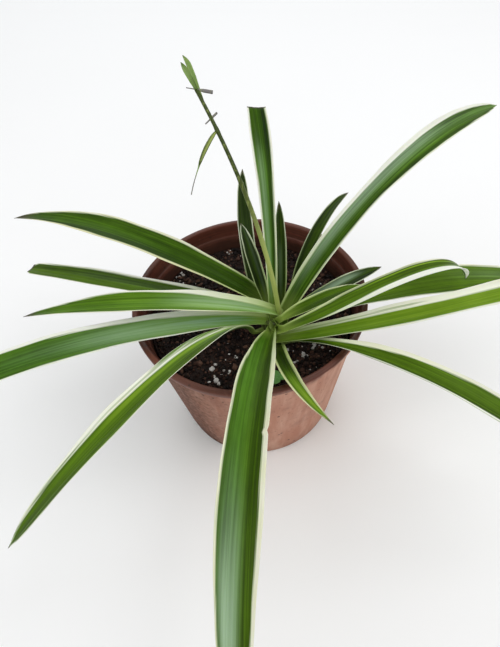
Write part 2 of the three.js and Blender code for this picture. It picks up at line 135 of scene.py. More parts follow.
def unit(v: np.ndarray) -> np.ndarray:
    """The same directions at length 1."""
    return v / np.maximum(np.linalg.norm(v, axis=-1, keepdims=True), 1e-9)


def circle(sides: int) -> np.ndarray:
    """Points round a circle of radius 1, from +X to +Y."""
    angle = np.linspace(0, 2 * math.pi, sides, endpoint=False)
    return np.stack([np.cos(angle), np.sin(angle)], 1)


def ring_faces(rings: int, size: int) -> Faces:
    """Four-sided faces between neighbouring closed rings of points.

    Args:
        rings: how many rings there are.
        size: how many points each has.

    Returns:
        The faces, with both ends left open.
    """
    return [
        (a + i, a + size + i, a + size + (i + 1) % size, a + (i + 1) % size)
        for a in range(0, (rings - 1) * size, size)
        for i in range(size)
    ]


def rod_faces(rings: int, size: int) -> Faces:
    """Faces of a closed rod: its rings of points are followed by the middles of its first and last end.

    Args:
        rings: how many rings there are.
        size: how many points each has.

    Returns:
        The faces, ends included.
    """
    faces = ring_faces(rings, size)
    last, middle = (rings - 1) * size, rings * size
    for i in range(size):
        after = (i + 1) % size
        faces += [(i, after, middle), (last + after, last + i, middle + 1)]
    return faces


def strap(top: np.ndarray, low: np.ndarray) -> tuple[np.ndarray, Faces]:
    """A closed strap between an upper and a lower face.

    Args:
        top: the upper face's points, by their place along it and then across.
        low: the points below them.

    Returns:
        Its points, in rings of the upper ones and then the lower ones backwards, and its faces.
    """
    stations, strips = top.shape[:2]
    size = 2 * strips
    faces = ring_faces(stations, size)
    last = (stations - 1) * size
    for i in range(strips - 1):
        end = (i, i + 1, size - 2 - i, size - 1 - i)
        faces += [end, tuple(last + j for j in end[::-1])]
    return np.concatenate([top, low[:, ::-1]], 1).reshape(-1, 3), faces


class Graph:
    """Builds a material's node tree with short calls."""

    def __init__(self, name: str) -> None:
        """Starts an empty material that holds only its output.

        Args:
            name: the material's name.
        """
        self.material = bpy.data.materials.new(name)
        self.material.use_nodes = True
        self.tree = self.material.node_tree
        self.tree.nodes.clear()
        self.out = self.tree.nodes.new("ShaderNodeOutputMaterial")

    def add(self, kind: str, inputs: dict | None = None, **settings: object) -> bpy.types.Node:
        """Adds a node.

        Args:
            kind: the node's type name without its ShaderNode prefix.
            inputs: by socket name or number, a value or another node's output.
            settings: properties of the node.

        Returns:
            The new node.
        """
        node = self.tree.nodes.new("ShaderNode" + kind)
        for key, value in settings.items():
            setattr(node, key, value)
        for key, value in (inputs or {}).items():
            socket = node.inputs[key]
            if isinstance(value, Socket):
                self.tree.links.new(value, socket)
            else:
                socket.default_value = value
        return node

    def attribute(self, name: str) -> Socket:
        """The number that each point of the mesh holds under a name."""
        return self.add("Attribute", attribute_name=name).outputs["Fac"]

    def place(self) -> Socket:
        """The place on the object, in metres."""
        return self.add("TexCoord").outputs["Object"]

    def scaled(self, place: Socket, scale: Sequence[float]) -> Socket:
        """A place with its three numbers scaled."""
        return self.add("Mapping", {"Vector": place, "Scale": scale}).outputs[0]

    def math(self, operation: str, *values: Value) -> Socket:
        """The result of one arithmetic step."""
        return self.add("Math", dict(enumerate(values)), operation=operation).outputs[0]

    def plus(self, a: Value, b: Value) -> Socket:
        """The sum of two values."""
        return self.math("ADD", a, b)

    def times(self, a: Value, b: Value) -> Socket:
        """The product of two values."""
        return self.math("MULTIPLY", a, b)

    def swing(self, value: Socket, amount: float) -> Socket:
        """A value about 0.5 made into one about 0, and scaled."""
        return self.times(self.math("SUBTRACT", value, 0.5), amount)

    def vector(self, x: Value, y: Value, z: Value) -> Socket:
        """Three numbers as one vector."""
        return self.add("CombineXYZ", {0: x, 1: y, 2: z}).outputs[0]

    def noise(self, place: Socket, scale: float, detail: float = 3, rough: float = 0.55) -> Socket:
        """Cloudy values about 0.5."""
        inputs = {"Vector": place, "Scale": scale, "Detail": detail, "Roughness": rough}
        return self.add("TexNoise", inputs).outputs["Fac"]

    def scatter(self, place: Socket, scale: float) -> Socket:
        """Distance to the nearest of many scattered points."""
        return self.add("TexVoronoi", {"Vector": place, "Scale": scale}).outputs["Distance"]

    def ramp(self, value: Value, low: float, high: float, to_low: float = 0, to_high: float = 1) -> Socket:
        """A smooth step from to_low to to_high as the value goes from low to high."""
        inputs = {0: value, 1: low, 2: high, 3: to_low, 4: to_high}
        return self.add("MapRange", inputs, interpolation_type="SMOOTHSTEP").outputs[0]

    def mix(self, factor: Value, a: Shade, b: Shade, blend: str = "MIX") -> Socket:
        """One colour going to another.

        Args:
            factor: 0 for the first colour and 1 for the second.
            a: the first colour.
            b: the second colour.
            blend: how the second is laid over the first.

        Returns:
            The mixed colour.
        """
        node = self.add("Mix", data_type="RGBA", blend_type=blend)
        for index, value in ((0, factor), (6, a), (7, b)):
            if isinstance(value, Socket):
                self.tree.links.new(value, node.inputs[index])
            else:
                node.inputs[index].default_value = (*value, 1) if isinstance(value, tuple) else value
        return node.outputs[2]

    def steps(self, value: Value, colours: Sequence[tuple[float, Colour]]) -> Socket:
        """The colour at a value, easing through a list of colours.

        Args:
            value: the place on the list, from 0 to 1.
            colours: positions that rise from 0 to 1, each with its colour.

        Returns:
            The colour there.
        """
        node = self.add("ValToRGB", {0: value})
        ramp = node.color_ramp
        for index, (at, colour) in enumerate(colours):
            stop = ramp.elements[index] if index < 2 else ramp.elements.new(at)
            stop.position, stop.color = at, (*colour, 1)
        return node.outputs[0]

    def bump(self, height: Socket, distance: float, strength: float = 1) -> Socket:
        """Normals tilted by a height field, with the distance in millimetres."""
        inputs = {"Height": height, "Distance": distance * MM, "Strength": strength}
        return self.add("Bump", inputs).outputs[0]

    def surface(
        self, colour: Shade, rough: Value, normal: Socket | None = None, **sockets: object
    ) -> Material:
        """Ends the graph in one principled surface.

        Args:
            colour: the base colour.
            rough: the roughness.
            normal: the bumped normal, if any.
            sockets: further socket values, with underscores for spaces.

        Returns:
            The finished material.
        """
        inputs = {key.replace("_", " "): value for key, value in sockets.items()}
        inputs["Base Color"] = (*colour, 1) if isinstance(colour, tuple) else colour
        inputs["Roughness"] = rough
        if normal is not None:
            inputs["Normal"] = normal
        node = self.add("BsdfPrincipled", inputs)
        self.tree.links.new(node.outputs[0], self.out.inputs[0])
        return self.material


@dataclass
class Piece:
    """A mesh in the making, in millimetres, with a number for each point under each named attribute."""

    points: list[np.ndarray] = field(default_factory=list)
    faces: Faces = field(default_factory=list)
    numbers: dict[str, list[np.ndarray]] = field(default_factory=dict)
    count: int = 0

    def add(self, points: np.ndarray, faces: Faces, **numbers: np.ndarray | float) -> None:
        """Joins more points and faces on.

        Args:
            points: n by 3 positions.
            faces: the numbers of those points round each face.
            numbers: for each attribute, n values or one for all.
        """
        self.points.append(np.asarray(points, float))
        self.faces.extend(tuple(self.count + i for i in face) for face in faces)
        self.count += len(points)
        for key, value in numbers.items():
            self.numbers.setdefault(key, []).append(np.broadcast_to(value, len(points)))

    def build(self, name: str, material: Material, slot: str, replaces: Sequence[str] = ()) -> None:
        """Makes the object, dresses it and hands it to the frame.

        Args:
            name: the object's name.
            material: its material.
            slot: the record's material slot; not used.
            replaces: the frame nodes that it stands for.
        """
        mesh = bpy.data.meshes.new(name)
        points = np.concatenate(self.points) * MM
        mesh.from_pydata(points.tolist(), [], self.faces)
        for key, parts in self.numbers.items():
            layer = mesh.attributes.new(key, "FLOAT", "POINT")
            layer.data.foreach_set("value", np.concatenate(parts).astype(np.float32))
        mesh.materials.append(material)
        shell = bmesh.new()
        shell.from_mesh(mesh)
        bmesh.ops.recalc_face_normals(shell, faces=shell.faces)
        shell.to_mesh(mesh)
        shell.free()
        mesh.shade_smooth()
        piece = bpy.data.objects.new(name, mesh)
        bpy.context.scene.collection.objects.link(piece)
        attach(piece, "root")
        if replaces:
            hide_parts(*replaces)
        log.info("%s: %d points, %d faces", name, self.count, len(self.faces))


@dataclass(frozen=True)
class Arch:
    """A line that climbs, droops and turns. Angles are in degrees."""

    root: tuple[float, float, float]
    heading: float
    sway: float
    length: float
    rise: float
    droop: float
    bend: float = 1.0
    roll: float = 0.0
    walk: int = 800

    def direction(self, s: np.ndarray) -> np.ndarray:
        """The way that the arch goes.

        Args:
            s: shares of its length.

        Returns:
            A unit vector for each.
        """
        share = np.clip(s, 0, 1)
        climb = np.radians(self.rise - self.droop * share**self.bend)
        turn = np.radians(self.heading + self.sway * share)
        level = np.cos(climb)
        return np.stack([level * np.cos(turn), level * np.sin(turn), np.sin(climb)], -1)

    def points(self, s: np.ndarray) -> np.ndarray:
        """Points of the arch, found by walking along it in small steps.

        Args:
            s: shares of its length.

        Returns:
            A point for each.
        """
        steps = np.linspace(0, 1, self.walk + 1)
        middle = (steps[1:] + steps[:-1]) / 2
        walked = np.cumsum(self.direction(middle) * self.length / self.walk, 0)
        line = np.vstack([np.zeros(3), walked]) + np.array(self.root)
        return np.stack([np.interp(s, steps, line[:, i]) for i in range(3)], -1)

    def across(self, s: np.ndarray, roll: np.ndarray) -> tuple[np.ndarray, np.ndarray]:
        """The sideways and upward directions at the shares s.

        Args:
            s: shares of the length.
            roll: sideways lean at each, in degrees.

        Returns:
            Two arrays of unit vectors.
        """
        turn = np.radians(self.heading + self.sway * np.clip(s, 0, 1))
        level = np.stack([-np.sin(turn), np.cos(turn), 0 * turn], -1)
        forward = self.direction(s)
        up = np.cross(forward, level)
        lean = np.radians(roll)[:, None]
        side = level * np.cos(lean) + up * np.sin(lean)
        return side, np.cross(forward, side)


@dataclass(frozen=True)
class Margin:
    """The pale edge on one side of a leaf, as shares of its half width. cream goes from white at 0 to 1."""

    base: float
    middle: float
    tip: float
    cream: float = 0.5

    def width(self, s: np.ndarray) -> np.ndarray:
        """Its share of the half width at the shares s of the length."""
        return between(((-0.1, self.base * 0.6), (0.04, self.base), (0.5, self.middle), (1, self.tip)), s)


@dataclass(frozen=True)
class Stripe:
    """A lighter or darker band along a leaf: its place across, half width, change of tone and ends."""

    at: float
    width: float
    light: float
    start: float = -0.1
    end: float = 1.1

    def shade(self, s: np.ndarray, y: np.ndarray) -> np.ndarray:
        """Its change of tone at the shares s of the length and y of the half width."""
        along = 1 / (1 + np.exp(-(s - self.start) / 0.05)) / (1 + np.exp((s - self.end) / 0.05))
        return self.light * along[:, None] * np.exp(-(((y - self.at) / self.width) ** 2))[None]


@dataclass(frozen=True)
class Line:
    """A thin green line within a pale margin: its place across, its half width in millimetres, its ends."""

    at: float
    width: float
    start: float = -0.1
    end: float = 1.1
    fade: float = 0.12
    gone: float = 0.6

    def band(self, s: np.ndarray, y: np.ndarray, half: np.ndarray) -> np.ndarray:
        """How far inside the line each place is.

        Args:
            s: shares of the length.
            y: shares of the half width.
            half: the half width at each, in millimetres.

        Returns:
            The distance in millimetres, below 0 outside.
        """
        full = np.clip((s - self.start) / self.fade, 0, 1) * np.clip((self.end - s) / self.fade, 0, 1)
        reach = self.width - (self.width + self.gone) * (1 - full)
        return reach[:, None] - np.abs(y - self.at)[None] * half


@dataclass(frozen=True)
class Nick:
    """A bite out of a leaf's edge: where along it, on which side, how deep and how long in millimetres."""

    at: float
    side: int
    depth: float
    length: float


@dataclass(frozen=True)
class Leaf:
    """One strap leaf, with a margin on the side of +across and then one on the other.

    stripes change its tone, sheens paint in pale bluish highlights, a painted reflection of the lights on
    its wax, and cools make it bluer. lines run within a margin, and nicks are bitten from its edge. rolls
    are leans in degrees along it, dry is the length of its withered tip, flutter the wave of its edge, and
    slant how far a cut end leans, in millimetres.
    """

    name: str
    arch: Arch
    width: float
    margins: tuple[Margin, Margin]
    tone: Tone = Tone.FRESH
    outline: Outline = Outline.POINTED
    stripes: tuple[Stripe, ...] = ()
    # Painted highlights: bands of pale bluish gloss painted into the green, standing in for the lights'
    # reflection.
    painted_sheens: tuple[Stripe, ...] = ()
    cools: tuple[Stripe, ...] = ()
    lines: tuple[Line, ...] = ()
    nicks: tuple[Nick, ...] = ()
    rolls: Pairs = ((0, 0), (1, 0))
    dry: float = 1.2
    flutter: float = 0.045
    slant: float = 0.0

    sheath_drop: float = 9.0
    sheath_floor: float = 83.0
    sheath_knee: float = 5.0
    channel: Pairs = ((0, 0.75), (0.25, 0.4), (0.6, 0.3), (1, 0.15))
    fold_power: float = 1.5
    sheath_fold: float = 0.25
    pleat: float = 0.03
    rib: float = 0.55
    edge: float = 0.22
    station: float = 1.9
    strips: int = 28

    def centre_line(self) -> tuple[np.ndarray, np.ndarray, np.ndarray, np.ndarray]:
        """Places along the leaf from inside the crown to the tip.

        Returns:
            Shares of the blade (negative in the sheath), points, sideways and upward directions.
        """
        root = np.array(self.arch.root)
        height = max(root[2] - self.sheath_drop, self.sheath_floor)
        core = np.array([CROWN[0], CROWN[1] + CROWN_LEAN * (height - SOIL_TOP), height])
        knee = root - self.sheath_knee * self.arch.direction(np.zeros(1))[0]
        knee[2] = max(knee[2], self.sheath_floor)
        t = np.linspace(0, 1, 13)[:-1, None]
        sheath = (1 - t) ** 2 * core + 2 * t * (1 - t) * knee + t * t * root
        forward = unit(2 * (1 - t) * (knee - core) + 2 * t * (root - knee))
        shares = np.linspace(0, 1, max(24, round(self.arch.length / self.station)))
        lean = self.arch.roll + between(self.rolls, shares)
        side, up = self.arch.across(shares, lean)
        sheath_up = unit(np.cross(forward, side[:1]))
        sheath_side = np.cross(sheath_up, forward)
        s = np.concatenate([(t[:, 0] - 1) * np.linalg.norm(root - core) / self.arch.length, shares])
        points = np.vstack([sheath, self.arch.points(shares)])
        return s, points, np.vstack([sheath_side, side]), np.vstack([sheath_up, up])

    def half_widths(self, s: np.ndarray, rng: random.Random) -> tuple[np.ndarray, np.ndarray]:
        """Half widths on both sides, with nicks and the slight unevenness of a grown edge.

        Args:
            s: shares of the length.
            rng: the source of the unevenness.

        Returns:
            The half width on the side of +across, and the other.
        """
        half = self.width * between(self.outline.value, np.clip(s, 0, 1)) / 2
        sides = []
        for sign in (1, -1):
            wander = sum(
                amount * np.sin(s * self.arch.length / pitch + rng.uniform(*ANY_PHASE))
                for amount, pitch in ((0.014, 19.0), (0.009, 7.0), (0.005, 2.9))
            )
            edge = half * (1 + wander)
            for nick in self.nicks:
                if nick.side == sign:
                    away = (s - nick.at) * self.arch.length / nick.length
                    edge = edge - nick.depth * np.exp(-(away**2))
            sides.append(np.maximum(edge, 0.1))
        return sides[0], sides[1]

    def lift(self, s: np.ndarray, y: np.ndarray, phase: float) -> np.ndarray:
        """How far the blade stands above its centre line, as a share of its half width.

        Args:
            s: shares of the length.
            y: shares of the half width.
            phase: where its flutter starts.

        Returns:
            A value for each s and y.
        """
        length = self.arch.length
        fold = between(self.channel, np.clip(s, 0, 1)) + self.sheath_fold * np.clip(-s * length / 12, 0, 1)
        wave = self.flutter * np.sin(s * length / 8.5 + phase) * np.clip(s * 6, 0, 1)
        pleats = -self.pleat * np.sin(2 * math.pi * np.abs(y)) ** 2
        channel = fold[:, None] * np.abs(y)[None] ** self.fold_power
        return channel + pleats[None] + wave[:, None] * y[None] ** 3

    def markings(self, s: np.ndarray, y: np.ndarray, half: np.ndarray, seed: float) -> dict[str, np.ndarray]:
        """The numbers that the finish reads.

        Args:
            s: shares of the length.
            y: shares of the half width.
            half: the half width at each, in millimetres.
            seed: what sets this leaf's streaks apart from another's.

        Returns:
            For each attribute, a value for every point of both faces.
        """
        length, flat = self.arch.length, np.zeros_like(half)
        first, second = self.margins
        pale = np.where(y[None] > 0, first.width(s)[:, None], second.width(s)[:, None])
        band = (1 - pale - np.abs(y)[None]) * half
        for line in self.lines:
            band = np.maximum(band, line.band(s, y, half))
        both = {
            "across": half * y,
            "along": s[:, None] * length,
            "band": band,
            "tone": self.tone.value + sum((stripe.shade(s, y) for stripe in self.stripes), flat),
            # Painted highlights: how much pale bluish gloss is painted in at each place.
            "painted_sheen": sum((painted_sheen.shade(s, y) for painted_sheen in self.painted_sheens), flat),
            "cool": sum((cool.shade(s, y) for cool in self.cools), flat),
            "cream": np.where(y > 0, first.cream, second.cream)[None],
            "left": (1 - s[:, None]) * length / self.dry,
            "seed": seed,
        }
        numbers = {key: self.wrapped(np.broadcast_to(value, half.shape)) for key, value in both.items()}
        numbers["under"] = np.tile(np.repeat([0.0, 1.0], len(y)), len(s))
        return numbers

    def wrapped(self, values: np.ndarray) -> np.ndarray:
        """Values across the upper face, repeated for the lower face in the order of its points."""
        return np.concatenate([values, values[:, ::-1]], 1).reshape(-1)

    def build(self, finish: Material) -> None:
        """Sweeps the blade and its sheath, upper and lower face, and dresses it.

        Args:
            finish: the leaves' material.
        """
        rng = random.Random(self.name)
        s, points, side, up = self.centre_line()
        left, right = self.half_widths(s, rng)
        y = np.linspace(-1, 1, self.strips + 1)
        y = 0.35 * np.sin(y * math.pi / 2) + 0.65 * y
        half = np.where(y[None] > 0, left[:, None], right[:, None])
        lift = half * self.lift(s, y, rng.uniform(*ANY_PHASE))
        skew = self.slant * np.clip((s - 0.85) / 0.15, 0, 1)[:, None] * y[None]
        top = points[:, None] + side[:, None] * (half * y)[..., None] + up[:, None] * lift[..., None]
        top = top + self.arch.direction(s)[:, None] * skew[..., None]
        thin = 0.35 + 0.65 * np.clip(left, 0.2, 3)[:, None] / 3
        thick = (self.edge + (self.rib - self.edge) * (1 - np.abs(y)[None] ** 2)) * thin
        low = top - up[:, None] * thick[..., None]
        piece = Piece()
        piece.add(*strap(top, low), **self.markings(s, y, half, rng.uniform(0, 50)))
        piece.build(self.name + "_blade", finish, "leaf", [self.name])


@dataclass(frozen=True)
class LeafFinish:
    """Leaf skin: streaked green, cream margins, painted bluish highlights; waxy above, paler and duller
    below.
    """

    shaded: Colour = (0.012, 0.025, 0.0035)
    deep: Colour = (0.037, 0.078, 0.0015)
    fresh: Colour = (0.095, 0.190, 0.006)
    lime: Colour = (0.210, 0.340, 0.022)
    pale: Colour = (0.500, 0.600, 0.270)
    # The colour of the painted highlights, a reflection of the lights painted into the green.
    painted_sheen: Colour = (0.360, 0.510, 0.330)
    cooling: Colour = (0.500, 1.000, 3.000)
    cream: Colour = (0.720, 0.710, 0.420)
    white: Colour = (0.870, 0.890, 0.790)
    base: Colour = (0.290, 0.400, 0.075)
    young: Colour = (0.420, 0.550, 0.170)
    below: Colour = (0.110, 0.190, 0.050)
    dry: Colour = (0.060, 0.050, 0.026)

    def green(self, g: Graph, streaks: Socket, veins: Socket, clouds: Socket) -> Socket:
        """The green of the leaf with its painted highlights, before its margins.

        Args:
            g: the graph that it joins.
            streaks: broad noise along the leaf.
            veins: fine noise along the leaf.
            clouds: soft noise.

        Returns:
            Its colour.
        """
        tone = g.attribute("tone")
        for cloudy, amount in ((streaks, 0.40), (veins, 0.62), (clouds, 0.3)):
            tone = g.plus(tone, g.swing(cloudy, amount))
        lightest = 1.5
        steps = (
            (0.0, self.shaded), (0.3, self.deep), (0.6, self.fresh), (1.0, self.lime), (lightest, self.pale),
        )
        colour = g.steps(g.math("DIVIDE", tone, lightest), [(at / lightest, shade) for at, shade in steps])
        colour = g.mix(g.attribute("cool"), colour, self.cooling, "MULTIPLY")
        # Painted highlight: pale bluish gloss mixed into the green, standing in for the lights' reflection on
        # the wax.
        painted_sheen_amount = g.times(g.attribute("painted_sheen"), g.ramp(veins, 0.25, 0.75, 0.8, 1.2))
        colour = g.mix(g.ramp(painted_sheen_amount, 0.0, 1.0), colour, self.painted_sheen)
        return g.mix(g.times(g.attribute("under"), 0.55), colour, self.below)

    def margin(self, g: Graph, clouds: Socket) -> Socket:
        """The pale edge's colour, from white to cream, and greener where the leaf is young.

        Args:
            g: the graph that it joins.
            clouds: soft noise.

        Returns:
            Its colour.
        """
        tint = g.plus(g.attribute("cream"), g.swing(clouds, 0.7))
        pale = g.mix(g.ramp(tint, 0.0, 1.0), self.white, self.cream)
        return g.mix(g.ramp(g.attribute("along"), 0.0, 60.0, 0.85, 0.0), pale, self.young)

    def withered(self, g: Graph, skin: Socket, lines: Socket) -> Socket:
        """The skin with a dried tip and a few dry flecks.

        Args:
            g: the graph that it joins.
            skin: the colour so far.
            lines: noise along the leaf.

        Returns:
            The colour with them.
        """
        spot = g.plus(g.attribute("left"), g.swing(lines, 1.2))
        skin = g.mix(g.ramp(spot, 0.5, 1.5, 0.9, 0.0), skin, self.dry)
        place = g.place()
        flecks = g.ramp(g.scatter(place, 75.0), 0.03, 0.06, 1.0, 0.0)
        flecks = g.times(flecks, g.ramp(g.noise(place, 21.0), 0.6, 0.64))
        return g.mix(g.times(flecks, 0.8), skin, self.dry)

    def make(self) -> Material:
        """The material. It reads the numbers that each leaf's points hold.

        Returns:
            The finished material.
        """
        g = Graph("leaf_skin")
        across, along, seed = g.attribute("across"), g.attribute("along"), g.attribute("seed")

        def drawn(close: float, far: float, detail: float) -> Socket:
            """Noise with a number of turns per millimetre across and along the leaf."""
            return g.noise(g.vector(g.times(across, close), g.times(along, far), seed), 1.0, detail, 0.6)

        streaks, lines = drawn(0.42, 0.010, 3), drawn(1.1, 0.012, 2)
        veins, clouds = drawn(2.8, 0.02, 2), drawn(0.12, 0.05, 3)
        inside = g.plus(g.attribute("band"), g.swing(lines, 1.6))
        pale = self.margin(g, clouds)
        skin = g.mix(g.ramp(inside, -0.3, 0.1), pale, g.mix(0.45, pale, self.fresh))
        skin = g.mix(g.ramp(inside, 0.0, 0.55), skin, self.green(g, streaks, lines, clouds))
        foot = g.ramp(g.plus(along, g.times(streaks, 8.0)), -4.0, 18.0, 0.75, 0.0)
        skin = self.withered(g, g.mix(foot, skin, self.base), lines)
        relief = g.plus(g.plus(g.times(veins, 0.5), g.times(lines, 0.9)), streaks)
        rough = g.plus(g.ramp(clouds, 0.3, 0.7, 0.32, 0.44), g.times(g.attribute("under"), 0.2))
        return g.surface(
            skin,
            rough,
            g.bump(relief, 0.25, 0.8),
            Subsurface_Weight=0.08,
            Subsurface_Radius=FLESH,
            Subsurface_Scale=0.0012,
            Specular_IOR_Level=0.09,
            Specular_Tint=(0.95, 1.0, 0.75, 1),
        )


